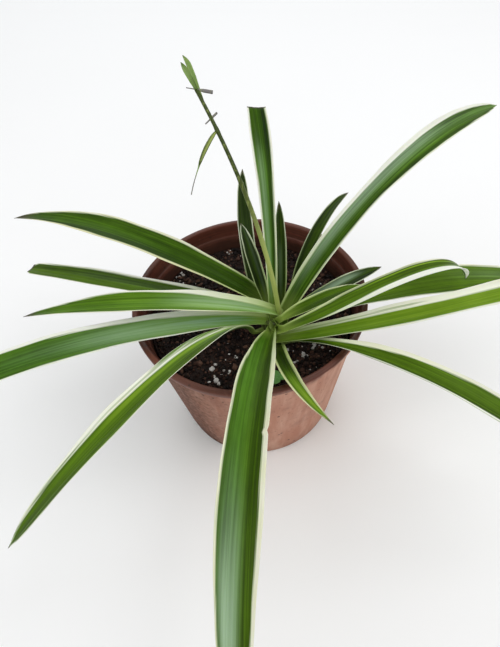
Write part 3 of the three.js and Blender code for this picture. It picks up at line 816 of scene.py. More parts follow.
LEAVES = (
    Leaf(
        "leaf_upper_left", Arch((7.5, 1, 88), 159.9, -9.3, 172, 34.1, 57.1, 1.18, -6), 16.5,
        (Margin(0.26, 0.18, 0.08, 0.8), Margin(0.1, 0.1, 0.05, 0.5)), Tone.DEEP, Outline.EARLY,
        stripes=(Stripe(-0.1, 0.45, 0.1), Stripe(0.1, 0.9, -0.14, end=0.4), Stripe(0.72, 0.2, -0.14)),
        cools=(Stripe(0.0, 1.2, 0.3),), dry=17,
    ),
    Leaf(
        "leaf_left_torn", Arch((7, -2.5, 85), 174.6, -24.2, 148, 16.1, 31, 1.42, 2), 12.5,
        (Margin(0.06, 0.06, 0.06, 0.4), Margin(0.3, 0.14, 0.1, 0.1)), Tone.DEEP, Outline.TORN,
        stripes=(Stripe(0.4, 0.5, 0.1),), painted_sheens=(Stripe(-0.3, 0.5, 0.16, 0.2, 0.8),),
    ),
    Leaf(
        "leaf_left_middle", Arch((14, -16, 95), 190.5, -28.8, 145, 39.4, 66, 0.82, 3), 14.5,
        (Margin(0.2, 0.1, 0.05, 0.5), Margin(0.5, 0.06, 0.05, 0.2)), Tone.FRESH, Outline.EARLY,
        stripes=(Stripe(0.05, 0.7, 0.4, end=0.36), Stripe(0.1, 0.3, 0.12), Stripe(0.0, 1.0, -0.2, 0.84)),
        painted_sheens=(Stripe(-0.2, 0.8, 0.46, -0.05, 0.4),), cools=(Stripe(0.0, 1.2, 0.25),), dry=10,
    ),
    Leaf(
        "leaf_left_long", Arch((5.5, -13.5, 87), 193.5, -4.6, 216, 27.8, 53.8, 0.81, -2), 18.6,
        (Margin(0.16, 0.14, 0.06, 0.15), Margin(0.4, 0.14, 0.06, 0.02)), Tone.FRESH, Outline.LATE,
        stripes=(Stripe(0.0, 1.2, 0.65, end=0.3), Stripe(0.0, 1.2, -0.1, 0.48)),
        painted_sheens=(Stripe(0.05, 0.9, 0.5, 0.1, 0.42), Stripe(-0.2, 0.5, 0.16, 0.3, 0.65)),
        cools=(Stripe(0.0, 1.2, 0.5),),
    ),
    Leaf(
        "leaf_lower_left", Arch((0, -20.5, 87), 239.3, -23.2, 168, 75.6, 110.3, 0.63, 20), 15,
        (Margin(0.12, 0.08, 0.05, 0.3), Margin(0.42, 0.36, 0.22, 0.25)), Tone.FRESH, Outline.THIN_FOOTED,
        # Its narrow light stripe at -0.42 across is a painted highlight along its channel.
        stripes=(Stripe(-0.42, 0.1, 0.5, 0.06, 0.66), Stripe(0.3, 0.5, -0.06), Stripe(0.0, 1.2, -0.12, 0.75)),
        painted_sheens=(Stripe(-0.2, 0.6, 0.34, 0.0, 0.3),),
        lines=(Line(-0.93, 0.4, 0.03, 0.56), Line(-0.8, 0.32, 0.05)),
    ),
    Leaf(
        "leaf_front", Arch((10, -26, 92.5), 256.4, 7.8, 186, 36.5, 92.8, 1.23, 11), 18,
        (Margin(0.26, 0.25, 0.16, 0.5), Margin(0.1, 0.06, 0.05, 0.5)), Tone.DEEP, Outline.NECKED,
        # Its stripes lighten the half towards -across and darken the half towards +across near the base:
        # partly its own green and olive, partly painted light and shade on the two slopes of its channel.
        stripes=(
            Stripe(-0.4, 0.5, 0.2, end=0.5), Stripe(-0.5, 0.5, 0.14, 0.5), Stripe(-0.02, 0.2, 0.17, 0.45),
            Stripe(0.4, 0.35, -0.08, end=0.6), Stripe(0.4, 0.4, 0.12, 0.65),
        ),
        painted_sheens=(
            Stripe(-0.42, 0.45, 0.5, 0.68), Stripe(-0.6, 0.35, 0.2, 0.46, 0.8), Stripe(-0.6, 0.2, 0.35, 0.7),
            Stripe(-0.1, 0.3, 0.3, 0.55),
        ),
        cools=(Stripe(-0.5, 0.7, 0.45, end=0.8),),
        nicks=(Nick(0.435, 1, 0.8, 0.8),),
    ),
    Leaf(
        "leaf_front_short", Arch((12.5, -28.5, 89), 267, 38, 69, 25, 19, 1.2, -3), 8,
        (Margin(0.26, 0.24, 0.2, 0.9), Margin(0.2, 0.28, 0.2, 0.9)), Tone.SHADED, Outline.TAPERED,
        stripes=(Stripe(0.1, 0.7, 0.8, 0.48, 0.95), Stripe(0.0, 1.0, 0.08)), dry=4,
    ),
    Leaf(
        "leaf_right_lower", Arch((17, -28, 84.5), 327.4, 1.5, 180, 54, 98, 0.55, -7), 14.5,
        (Margin(0.5, 0.2, 0.05, 0.4), Margin(0.14, 0.26, 0.28, 0.1)), Tone.DEEP, Outline.THIN_FOOTED,
        stripes=(Stripe(0.1, 0.6, 0.1), Stripe(0.5, 0.4, 0.16, 0.42), Stripe(-0.35, 0.12, 0.12, 0.2)),
        lines=(Line(-0.95, 0.24, 0.16),),
    ),
    Leaf(
        "leaf_right", Arch((14.5, -32, 93.5), -9.3, 30.6, 198, 17.2, 29.7, 1.32, 1), 13.5,
        (Margin(0.34, 0.5, 0.6, 0.3), Margin(0.12, 0.2, 0.3, 0.3)), Tone.LIME,
        stripes=(Stripe(-0.6, 0.2, -0.2, end=0.4), Stripe(0.0, 0.5, -0.2, end=0.2)),
        lines=(Line(0.75, 0.28, end=0.46),), flutter=0.07,
    ),
    Leaf(
        "leaf_right_behind", Arch((19.5, -19.5, 87), 5.7, 3.9, 196, 32.3, 70.4, 0.72, 9), 17,
        (Margin(0.08, 0.08, 0.12, 0.4), Margin(0.1, 0.08, 0.12, 0.3)), Tone.FRESH, Outline.SPREAD,
        stripes=(Stripe(0.1, 0.5, 0.04), Stripe(-0.7, 0.2, -0.1)),
        painted_sheens=(Stripe(0.4, 0.5, 0.26, 0.5, 0.8),),
    ),
    Leaf(
        "leaf_right_hooked", Arch((17, -30.5, 98.5), -4.5, 34.2, 118, 30.4, 105.8, 2.53, -8), 11,
        (Margin(0.1, 0.07, 0.06, 0.5), Margin(0.1, 0.88, 0.75, 0.05)), Tone.DEEP,
        stripes=(Stripe(0.7, 0.07, 0.8, 0.35, 0.95), Stripe(-0.1, 0.4, 0.22)),
    ),
    Leaf(
        "leaf_right_dark", Arch((23, -10, 86), 13.5, 7.5, 57, 30.5, 33.5, 1.2, 1), 9,
        (Margin(0.04, 0.04, 0.04, 0.2), Margin(0.05, 0.04, 0.04, 0.2)), Tone.SHADED, dry=2.5,
        stripes=(Stripe(0.2, 0.5, 0.12),), painted_sheens=(Stripe(0.45, 0.45, 0.65, 0.0, 0.75),),
    ),
    Leaf(
        "leaf_right_short", Arch((17.5, -21.5, 97.5), 13, 3, 46, 23.5, 29, 1.1, -4), 9,
        (Margin(0.14, 0.12, 0.08, 0.6), Margin(0.08, 0.07, 0.06, 0.5)), Tone.DEEP,
        stripes=(Stripe(0.3, 0.5, 0.12),),
    ),
    Leaf(
        "leaf_upper_right", Arch((20, -10, 92), 42.1, -3, 219, 47.9, 65, 0.64, 26), 15,
        (Margin(0.3, 0.36, 0.28, 0.15), Margin(0.12, 0.08, 0.06, 0.3)), Tone.DEEP, Outline.ROUNDED,
        stripes=(
            Stripe(0.1, 0.5, 0.14, 0.3), Stripe(-0.78, 0.22, -0.16, end=0.6), Stripe(-0.3, 0.5, 0.14, 0.5),
        ),
        painted_sheens=(Stripe(0.35, 0.5, 0.52, 0.1, 0.66), Stripe(0.1, 0.5, 0.16, 0.6)),
        cools=(Stripe(0.0, 1.2, 0.3),),
    ),
    Leaf(
        "leaf_back_right_dark", Arch((23.5, -3, 88), 57, -6.5, 81, 61, 80.5, 1.2, -4), 7,
        (Margin(0.07, 0.05, 0.04, 0.3), Margin(0.07, 0.05, 0.04, 0.5)), Tone.SHADED, dry=4,
        stripes=(Stripe(-0.2, 0.4, 0.1), Stripe(0.3, 0.15, 0.14),),
    ),
    Leaf(
        "leaf_back_dark", Arch((18, -1.5, 88), 81, 6, 57, 75, 43, 1.2, 0), 6.5,
        (Margin(0.1, 0.09, 0.05, 0.3), Margin(0.14, 0.12, 0.06, 0.4)), Tone.SHADED, dry=4,
        painted_sheens=(Stripe(0.1, 0.5, 0.22, end=0.6),),
    ),
    Leaf(
        "leaf_back_cut", Arch((13, -6.5, 92), 84.5, 9, 105, 70, 40.5, 1.2, -2), 10.6,
        (Margin(0.22, 0.18, 0.14, 0.25), Margin(0.26, 0.2, 0.16, 0.3)), Tone.FRESH, Outline.CUT,
        stripes=(Stripe(-0.55, 0.3, -0.3, 0.2), Stripe(0.1, 0.5, 0.08), Stripe(0.0, 1.2, -0.26, 0.8)),
        painted_sheens=(Stripe(0.3, 0.45, 0.42, 0.0, 0.8),), cools=(Stripe(0.0, 1.2, 0.4),), dry=0.6, slant=1.0,
    ),
    Leaf(
        "leaf_back_left_dark", Arch((5, 2.5, 83.5), 99.5, -15.5, 82, 50, 32.5, 1.2, 0), 8.5,
        (Margin(0.12, 0.08, 0.05, 0.2), Margin(0.08, 0.06, 0.04, 0.3)), Tone.SHADED, dry=3,
        painted_sheens=(Stripe(0.1, 0.6, 0.12, 0.0, 0.6),),
    ),
    Leaf(
        "leaf_back_left_short", Arch((9.5, -2, 89), 109, -3, 47, 56, 24.5, 1.2, 2), 7.5,
        (Margin(0.08, 0.07, 0.06, 0.2), Margin(0.11, 0.09, 0.06, 0.2)), Tone.SHADED,
        stripes=(Stripe(0.1, 0.2, 0.16),), painted_sheens=(Stripe(-0.3, 0.3, 0.18),),
    ),
)


@dataclass(frozen=True)
class PotFinish:
    """Moulded red-brown plastic: satin within, and dulled by a pinkish dust outside."""

    plastic: Colour = (0.105, 0.028, 0.017)
    # A lighter red, for wear and for the painted highlight high on the collar.
    worn_and_lit: Colour = (0.195, 0.064, 0.040)
    dust: Colour = (0.460, 0.212, 0.142)
    pale_dust: Colour = (0.590, 0.340, 0.250)
    speck: Colour = (0.050, 0.026, 0.018)
    # A dark red-brown, for dirt and for painted shade on the pot's left and back.
    shaded_grime: Colour = (0.070, 0.027, 0.017)

    def bare(self, g: Graph, clouds: Socket, fine: Socket) -> Socket:
        """The plastic's colour, with wear, turned marks and a painted highlight high on the collar.

        Args:
            g: the graph that it joins.
            clouds: soft noise.
            fine: fine noise.

        Returns:
            Its colour.
        """
        rings = g.noise(g.scaled(g.place(), (4.0, 4.0, 220.0)), 4.0, 4, 0.6)
        skin = g.mix(g.ramp(clouds, 0.35, 0.7), self.plastic, self.worn_and_lit)
        skin = g.mix(g.ramp(fine, 0.62, 0.78, 0.0, 0.25), skin, self.dust)
        # Painted highlight: above 87 mm the plastic is lightened towards the lighter red, for the brighter,
        # glossier face of the collar.
        skin = g.mix(g.ramp(g.attribute("height"), 87.0, 89.0, 0.0, 0.2), skin, self.worn_and_lit)
        return g.mix(g.ramp(rings, 0.4, 0.62, 0.0, 0.5), skin, self.speck)

    def dusted(self, g: Graph, clouds: Socket, fine: Socket) -> Socket:
        """The dust on the outside, streaky, rubbed off in places, and darker with dirt and painted shade on
        the left and back, and darker towards the bottom.

        Args:
            g: the graph that it joins.
            clouds: soft noise.
            fine: fine noise.

        Returns:
            Its colour.
        """
        streaks = g.noise(g.scaled(g.place(), (1.0, 1.0, 0.12)), 150.0, 4, 0.6)
        dusty = g.mix(g.ramp(streaks, 0.3, 0.75), self.dust, self.pale_dust)
        dusty = g.mix(g.ramp(clouds, 0.3, 0.52, 0.45, 0.0), dusty, self.worn_and_lit)
        dusty = g.mix(g.ramp(fine, 0.3, 0.4, 0.5, 0.0), dusty, self.worn_and_lit)
        # Painted shade with some dirt: the dust darkens where the pot's number for them is high.
        return g.mix(g.times(g.attribute("grimy"), g.ramp(fine, 0.3, 0.7, 0.95, 0.6)), dusty, self.shaded_grime)

    def specks(self, g: Graph) -> Socket:
        """How much of a dark speck each place is, more of them on the left and back and towards the bottom.

        Args:
            g: the graph that they join.

        Returns:
            A value from 0 to 1.
        """
        spots = g.ramp(g.scatter(g.place(), 190.0), 0.1, 0.2, 1.0, 0.0)
        chosen = g.plus(g.noise(g.place(), 60.0, 2), g.times(g.attribute("grimy"), 0.12))
        return g.times(spots, g.ramp(chosen, 0.52, 0.62))

    def make(self) -> Material:
        """The material. It reads each point's height, how far it is outside, and how much dirt and painted
        shade darken it.

        Returns:
            The finished material.
        """
        g = Graph("pot_plastic")
        outside, height = g.attribute("outside"), g.attribute("height")
        clouds, fine = g.noise(g.place(), 38.0, 5, 0.6), g.noise(g.place(), 420.0, 4, 0.6)
        settled = g.ramp(g.plus(outside, g.swing(clouds, 1.6)), 0.25, 0.75)
        settled = g.times(settled, g.ramp(outside, 0.0, 0.3))
        skin = g.mix(settled, self.bare(g, clouds, fine), self.dusted(g, clouds, fine))
        skin = g.mix(g.times(self.specks(g), 0.75), skin, self.speck)
        soiled = g.ramp(g.plus(height, g.times(clouds, 6.0)), 84.0, 92.0, 0.75, 0.0)
        skin = g.mix(g.times(soiled, g.math("SUBTRACT", 1.0, outside)), skin, self.speck)
        rough = g.plus(g.ramp(clouds, 0.3, 0.7, 0.32, 0.48), g.times(outside, 0.36))
        relief = g.plus(g.times(clouds, 0.5), g.times(fine, 0.25))
        return g.surface(skin, rough, g.bump(relief, 0.35, 0.6), Specular_IOR_Level=0.24)


@dataclass
class Pot:
    """The nursery pot: a lipped collar over a tapered wall, a ledge inside, and holes in its base.

    disc is the radius within which the base is filled flat around its holes. dusty_side is how far from +X
    towards -Y, in degrees, the dust outside is thickest. The side turned away from it, the left and back, is
    painted darker as shade, over some dirt.
    """

    height: float = 96.0
    rim: float = 65.0
    base: float = 49.5
    collar: float = 4.0
    step: float = 3.0
    lip: float = 3.4
    inner_face: float = 8.0
    lean: float = 1.4
    ledge: float = 0.8
    wall: float = 2.0
    floor: float = 3.0
    holes: int = 5
    hole: float = 3.5
    ring: float = 30.0
    disc: float = 44.0
    foot_round: float = 1.8
    lip_round: float = 1.1
    dusty_side: float = 38.0
    segments: int = 192

    def outer(self, z: float) -> float:
        """Radius of the wall's outside at a height."""
        return self.base + (self.rim - self.step - self.base) * z / (self.height - self.collar)

    def profile(self) -> list[tuple[float, float, float]]:
        """The wall's section, from under the base round to the floor inside.

        Returns:
            Rows of radius, height and how far outside it is.
        """

        def arc(x: float, z: float, radius: float, *degrees: float) -> list[tuple[float, float]]:
            """Points of a rounded corner about a centre."""
            turns = [math.radians(a) for a in degrees]
            return [(x + radius * math.cos(a), z + radius * math.sin(a)) for a in turns]

        foot, top = self.height - self.collar, self.height
        inner, ledge = self.rim - self.lip, top - self.inner_face
        heel, bead = self.foot_round, self.lip_round
        rows: list[tuple[float, float, float]] = [(self.disc, 0, 1), (self.base - heel, 0, 1)]
        rows += [(r, z, 1) for r, z in arc(self.base - heel, heel, heel, -70, -45, -20, 0)]
        rows += [(self.outer(z), z, 1) for z in (8, 20, 34, 48, 62, 74, 82, 87, 90, foot - 0.6)]
        rows += [(self.outer(foot) + 0.25, foot - 0.15, 1), (self.outer(foot) + 0.7, foot, 1)]
        rows += [(self.rim - 0.75, foot, 0.8), (self.rim - 0.4, foot + 0.12, 0.8)]
        rows += [(self.rim - 0.3, foot + 0.5, 0.8), (self.rim - 0.15, top - 2.4, 0.75)]
        rows.append((self.rim, top - 1.4, 0.6))
        for angle in (25, 50, 75, 90):
            rows += [(r, z, 0.4 - angle / 225) for r, z in arc(self.rim - bead, top - bead, bead, angle)]
        rows += [(r, z, 0) for r, z in arc(inner + bead, top - bead, bead, 90, 120, 150, 180)]
        rows += [(inner - 0.35, top - 3, 0), (inner - self.lean + 0.2, ledge + 0.6, 0)]
        rows += [(inner - self.lean, ledge, 0), (inner - self.lean - 0.25, ledge - 0.25, 0)]
        rows += [(self.outer(ledge - 1) - self.wall, ledge - self.ledge, 0)]
        rows += [(self.outer(z) - self.wall, z, 0) for z in (84, 78, 60, 30, self.floor + 1)]
        rows += [(self.outer(self.floor) - self.wall - 1, self.floor, 0), (self.disc, self.floor, 0)]
        return rows

    def build(self, finish: Material) -> None:
        """Spins the wall, fills the base around its holes and dresses it.

        Args:
            finish: the pot's material.
        """
        rows = self.profile()
        around = circle(self.segments)
        away = (np.linspace(0, 360, self.segments, endpoint=False) + self.dusty_side) % 360
        away = np.minimum(away, 360 - away)
        points, rings = [], {"outside": [], "height": [], "grimy": []}
        for radius, z, out in rows:
            level = np.full(self.segments, z)
            points.append(np.column_stack([radius * around, level]))
            clean = np.clip((away - 25) / 40, 0, 1) if z > self.height - self.collar - 0.1 else 0 * away
            rings["outside"].append(out * (1 - clean))
            rings["height"].append(level)
            # Painted shade over some dirt on the side turned away from dusty_side, and darker towards the
            # bottom.
            rings["grimy"].append(np.clip((away - 58) / 34, 0, 1) + 0.35 * np.clip(1 - z / 14, 0, 1))
        piece = Piece()
        numbers = {key: np.concatenate(values) for key, values in rings.items()}
        piece.add(np.concatenate(points), ring_faces(len(rows), self.segments), **numbers)
        self.add_base(piece)
        piece.build("pot_moulding", finish, "pot", ["pot"])

    def add_base(self, piece: Piece) -> None:
        """Adds the base's two faces with the drain holes through them.

        Args:
            piece: the pot so far, whose open edges are rings as wide as the disc.
        """
        centres = self.ring * circle(self.holes)
        outlines = [self.disc * circle(self.segments)]
        outlines += [centre + self.hole * circle(24) for centre in centres]
        starts = np.cumsum([0] + [len(outline) for outline in outlines])
        edges = [
            (int(a + i), int(a + (i + 1) % (b - a)))
            for a, b in zip(starts[:-1], starts[1:])
            for i in range(b - a)
        ]
        found = delaunay_2d_cdt([Vector(p) for p in np.concatenate(outlines)], edges, [], 0, 1e-5)
        spots = np.array([tuple(p) for p in found[0]])
        kept = [
            tuple(face)
            for face in found[2]
            if all(np.linalg.norm(spots[list(face)].mean(0) - c) > self.hole * 0.98 for c in centres)
        ]
        low = np.column_stack([spots, np.zeros(len(spots))])
        high = np.column_stack([spots, np.full(len(spots), self.floor)])
        walls = [(b, a, a + len(spots), b + len(spots)) for a, b in edges[self.segments:]]
        piece.add(low, [face[::-1] for face in kept], outside=1.0, height=0.0, grimy=0.5)
        piece.add(high, kept, outside=0.0, height=self.floor, grimy=0.5)
        piece.add(np.concatenate([low, high]), walls, outside=0.5, height=1.0, grimy=0.5)


@dataclass(frozen=True)
class SoilFinish:
    """Moist potting mix: near-black crumbs with brown ones among them."""

    black: Colour = (0.0065, 0.0034, 0.0027)
    brown: Colour = (0.064, 0.029, 0.019)
    bark: Colour = (0.150, 0.078, 0.052)

    def make(self) -> Material:
        """The material. It reads a tone for each crumb.

        Returns:
            The finished material.
        """
        g = Graph("potting_mix")
        grain, lumps = g.noise(g.place(), 900.0, 4, 0.65), g.noise(g.place(), 160.0, 3)
        tone = g.plus(g.attribute("crumb"), g.swing(grain, 0.5))
        colour = g.mix(g.ramp(tone, 0.2, 0.75), self.black, self.brown)
        colour = g.mix(g.ramp(tone, 0.86, 1.1), colour, self.bark)
        rough = g.ramp(lumps, 0.35, 0.65, 0.5, 0.85)
        return g.surface(colour, rough, g.bump(grain, 0.8, 0.8), Specular_IOR_Level=0.22)


@dataclass(frozen=True)
class PerliteFinish:
    """Porous white grains with soil rubbed into them."""

    white: Colour = (0.720, 0.700, 0.670)
    stained: Colour = (0.230, 0.190, 0.160)

    def make(self) -> Material:
        """The material, pitted and stained at random.

        Returns:
            The finished material.
        """
        g = Graph("perlite")
        pores, stain = g.noise(g.place(), 1500.0, 4, 0.7), g.noise(g.place(), 300.0, 3)
        colour = g.mix(g.ramp(stain, 0.42, 0.7), self.white, self.stained)
        return g.surface(colour, 0.9, g.bump(pores, 0.4, 0.8))


def icosphere(level: int) -> tuple[np.ndarray, Faces]:
    """A ball of radius 1 made of triangles.

    Args:
        level: how finely it is divided.

    Returns:
        Its points and faces.
    """
    ball = bmesh.new()
    bmesh.ops.create_icosphere(ball, subdivisions=level, radius=1)
    points = np.array([tuple(v.co) for v in ball.verts])
    faces = [tuple(v.index for v in f.verts) for f in ball.faces]
    ball.free()
    return points, faces


def add_tube(
    piece: Piece,
    line: np.ndarray,
    radius: np.ndarray,
    sides: int,
    flat: float = 1.0,
    **numbers: np.ndarray | float,
) -> None:
    """Adds a closed round rod along a line.

    Args:
        piece: the mesh that it joins.
        line: points of its centre line.
        radius: its radius at each.
        sides: how many sides it has.
        flat: its thickness as a share of its width.
        numbers: for each attribute, a value for every ring or one for all.
    """
    n = len(line)
    forward = unit(np.gradient(line, axis=0))
    side = unit(np.cross(forward, (0.31, 0.17, 0.93)))
    up = np.cross(side, forward)
    around = circle(sides)
    out = side[:, None] * around[:, :1] + up[:, None] * flat * around[:, 1:]
    skin = line[:, None] + out * radius[:, None, None]
    filled = {}
    for key, value in numbers.items():
        value = np.broadcast_to(value, n)
        filled[key] = np.concatenate([np.repeat(value, sides), value[:1], value[-1:]])
    piece.add(np.vstack([skin.reshape(-1, 3), line[0], line[-1]]), rod_faces(n, sides), **filled)


@dataclass
class Soil:
    """The potting mix: a rough top, loose crumbs, perlite grains and a dry thread lying on it.

    Each of clusters is a patch of perlite: its place, its spread, how many grains it has and their radius.
    """

    bottom: float = 3.3
    radius: float = 57.4
    foot: float = 47.1
    edge: float = 1.5
    stem: float = 9.0
    crumbs: int = 4900
    clusters: tuple[tuple[float, float, float, int, float], ...] = (
        (17, -30, 1, 1, 1.1), (31, -28, 2, 3, 1.2), (27, -33, 2, 3, 1.3), (22, -36, 2, 2, 0.9),
        (30, -42, 3, 2, 0.8), (36, -29, 2, 2, 1.0), (-22, -37, 3, 3, 1.1), (-22, -45, 3, 4, 1.1),
        (-16, -40, 4, 5, 1.05), (-11, -30, 4, 3, 0.85), (-43, 38, 4, 5, 1.1), (-40, 28, 5, 5, 0.8),
        (-10, 56, 5, 5, 0.8), (34, 36, 6, 4, 0.8), (38, 13, 5, 3, 0.8), (-27, -21, 9, 8, 0.5),
        (0, 0, 55, 90, 0.5),
    )
    rings: int = 110
    spokes: int = 300
    seed: int = 11

    def height(self, x: float, y: float) -> float:
        """Height of the rough top, before any crumb lies on it.

        Args:
            x: how far to the right of the pot's centre.
            y: how far behind it.

        Returns:
            The height, in millimetres.
        """
        wide = noise.noise(Vector((x * 0.06, y * 0.06, 3.1)))
        close = noise.fractal(Vector((x * 0.35, y * 0.35, 7.7)), 1.0, 2.0, 4)
        fine = noise.fractal(Vector((x * 1.1, y * 1.1, 1.3)), 0.8, 2.0, 3)
        near = max(0.0, 1 - math.hypot(x - CROWN[0], y - CROWN[1]) / 16)
        sunk = max(0.0, math.hypot(x, y) / self.radius - 0.82) / 0.18
        return SOIL_TOP + 0.5 * wide + 0.75 * close * (1 - 0.6 * near) + 0.35 * fine - 0.6 * sunk

    def bed(self) -> Piece:
        """The body of the mix, with its rough top.

        Returns:
            The mesh in the making.
        """
        around = circle(self.spokes)
        points = []
        for k in range(1, self.rings + 1):
            points += [(x, y, self.height(x, y)) for x, y in self.radius * k / self.rings * around]
        points += [(x, y, self.bottom) for x, y in self.foot * around]
        points += [(0.0, 0.0, self.height(0, 0)), (0.0, 0.0, self.bottom)]
        piece = Piece()
        piece.add(np.array(points), rod_faces(self.rings + 1, self.spokes), crumb=0.35)
        return piece

    def build(self, finish: Material, perlite: Material) -> None:
        """Makes the bed with its crumbs, and then the perlite.

        Args:
            finish: the mix's material.
            perlite: the grains' material.
        """
        rng = random.Random(self.seed)
        crumb, grain = icosphere(1), icosphere(2)
        piece = self.bed()
        for _ in range(self.crumbs):
            x, y = self.spot(rng, 0, 0, self.radius - self.edge)
            size = 0.45 + 1.05 * rng.random() ** 2.2
            self.add_lump(piece, crumb, rng, (x, y), size, 0.08 + 1.0 * rng.random() ** 1.6)
        self.add_thread(piece)
        piece.build("soil_bed", finish, "soil", ["soil"])
        grains = Piece()
        for x0, y0, spread, count, size in self.clusters:
            for _ in range(count):
                place = self.spot(rng, x0, y0, spread)
                self.add_lump(grains, grain, rng, place, size * (0.6 + 0.6 * rng.random()), 1.0)
        grains.build("perlite_grains", perlite, "soil")

    def spot(self, rng: random.Random, x0: float, y0: float, spread: float) -> tuple[float, float]:
        """A random place on the bed, clear of the crown's stem and the pot's wall.

        Args:
            rng: the source of the place.
            x0: the middle of where it may lie, to the right of the pot's centre.
            y0: the same, behind the centre.
            spread: how far from there it may lie.

        Returns:
            The place.
        """
        while True:
            a, r = rng.uniform(0, 2 * math.pi), spread * math.sqrt(rng.random())
            x, y = x0 + r * math.cos(a), y0 + r * math.sin(a)
            clear = math.hypot(x - CROWN[0], y - CROWN[1]) > self.stem
            if clear and math.hypot(x, y) < self.radius - self.edge:
                return x, y

    def add_lump(
        self,
        piece: Piece,
        ball: tuple[np.ndarray, Faces],
        rng: random.Random,
        place: tuple[float, float],
        size: float,
        tone: float,
    ) -> None:
        """Adds one irregular lump that is half sunk in the bed.

        Args:
            piece: the mesh that it joins.
            ball: the points and faces that it is shaped from.
            rng: the source of its shape.
            place: where it lies.
            size: its mean radius.
            tone: the number that sets its colour.
        """
        points, faces = ball
        shift = Vector([rng.uniform(0, 90) for _ in range(3)])
        bulge = np.array([1 + 0.55 * noise.noise(Vector(p) * 1.4 + shift) for p in points])
        stretch = np.array([rng.uniform(*span) for span in ((0.7, 1.3), (0.7, 1.3), (0.55, 0.9))])
        turn = Matrix.Rotation(rng.uniform(*ANY_PHASE), 3, "Z")
        tilt = Matrix.Rotation(rng.uniform(-0.5, 0.5), 3, "X")
        shaped = (points * bulge[:, None] * stretch) @ np.array(turn @ tilt).T * size
        centre = np.array([*place, self.height(*place) + size * 0.35])
        piece.add(shaped + centre, faces, crumb=tone)

    def add_thread(self, piece: Piece) -> None:
        """Adds the dry thread that lies on the bed at the back left.

        Args:
            piece: the mesh that it joins.
        """
        t = np.linspace(0, 1, 24)
        x = -49 + 7 * t + 2.2 * np.sin(t * 5)
        y = 51 - 27 * t
        inside = np.hypot(x, y) < self.radius - 2
        x, y = x[inside], y[inside]
        z = np.array([self.height(a, b) + 1.2 for a, b in zip(x, y)])
        add_tube(piece, np.stack([x, y, z], 1), np.full(len(x), 0.22), 6, crumb=1.15)


@dataclass(frozen=True)
class StemFinish:
    """The stalk and crown: pale yellow-green low down, dark olive above, dry grey on the twigs."""

    pale: Colour = (0.400, 0.470, 0.130)
    olive: Colour = (0.044, 0.066, 0.010)
    bract: Colour = (0.230, 0.340, 0.100)
    dry: Colour = (0.200, 0.185, 0.185)

    def make(self) -> Material:
        """The material. It reads kind: 0 pale to 1 olive, 2 bract and 3 dry.

        Returns:
            The finished material.
        """
        g = Graph("stem_skin")
        kind = g.attribute("kind")
        fibres = g.noise(g.scaled(g.place(), (1.0, 1.0, 0.15)), 900.0, 3)
        colour = g.mix(g.ramp(kind, 0.0, 1.0), self.pale, self.olive)
        colour = g.mix(g.ramp(kind, 1.3, 1.8), colour, self.bract)
        colour = g.mix(g.ramp(kind, 2.4, 2.8), colour, self.dry)
        colour = g.mix(g.ramp(fibres, 0.5, 0.75, 0.0, 0.45), colour, self.pale)
        return g.surface(
            colour,
            g.ramp(kind, 2.2, 2.8, 0.42, 0.85),
            g.bump(fibres, 0.15, 0.6),
            Subsurface_Weight=0.1,
            Subsurface_Radius=FLESH,
            Subsurface_Scale=0.0012,
            Specular_IOR_Level=0.22,
        )


@dataclass(frozen=True)
class SmallBlade:
    """A small folded blade on the stalk.

    outline gives its width along it as shares of its widest, and fold is the depth of its channel as a share
    of its half width. kind gives its finish along it, and edge how much that changes towards its edges.
    """

    arch: Arch
    width: float
    outline: Pairs
    fold: float
    kind: Pairs
    edge: float

    thinnest: float = 0.14
    thick: float = 0.34
    edge_thick: float = 0.22

    def add_to(self, piece: Piece) -> None:
        """Sweeps the blade.

        Args:
            piece: the mesh that it joins.
        """
        s, y = np.linspace(0, 1, 40), np.linspace(-1, 1, 11)
        side, up = self.arch.across(s, np.full(len(s), self.arch.roll))
        half = np.maximum(self.width * between(self.outline, s) / 2, self.thinnest)[:, None]
        lift = half * self.fold * np.abs(y)[None] ** 1.5
        flat = self.arch.points(s)[:, None] + side[:, None] * (half * y)[..., None]
        top = flat + up[:, None] * lift[..., None]
        thick = self.thick - (self.thick - self.edge_thick) * np.abs(y)
        low = top - up[:, None] * thick[None, :, None]
        outward = np.concatenate([np.abs(y), np.abs(y)])[None] * (s < 0.6)[:, None]
        finish = between(self.kind, s)[:, None] + self.edge * outward
        piece.add(*strap(top, low), kind=finish.reshape(-1))


@dataclass(frozen=True)
class Twig:
    """A dry twig across the stalk: where it crosses, how much of it lies behind, its way and its length."""

    at: float
    behind: float
    heading: float
    rise: float
    length: float
    thin: float
    thick: float

    def add_to(self, piece: Piece, crossing: np.ndarray) -> None:
        """Adds the twig, thin at its start and thick at its end.

        Args:
            piece: the mesh that it joins.
            crossing: the stalk's point that it crosses.
        """
        way = Arch((0, 0, 0), self.heading, 0, self.length, self.rise, 0)
        line = way.points(np.linspace(0, 1, 12)) + crossing - self.behind * way.direction(np.zeros(1))[0]
        radius = self.thin + (self.thick - self.thin) * np.clip(np.linspace(-1, 2, 12), 0, 1)
        add_tube(piece, line, radius, 8, kind=3.0)


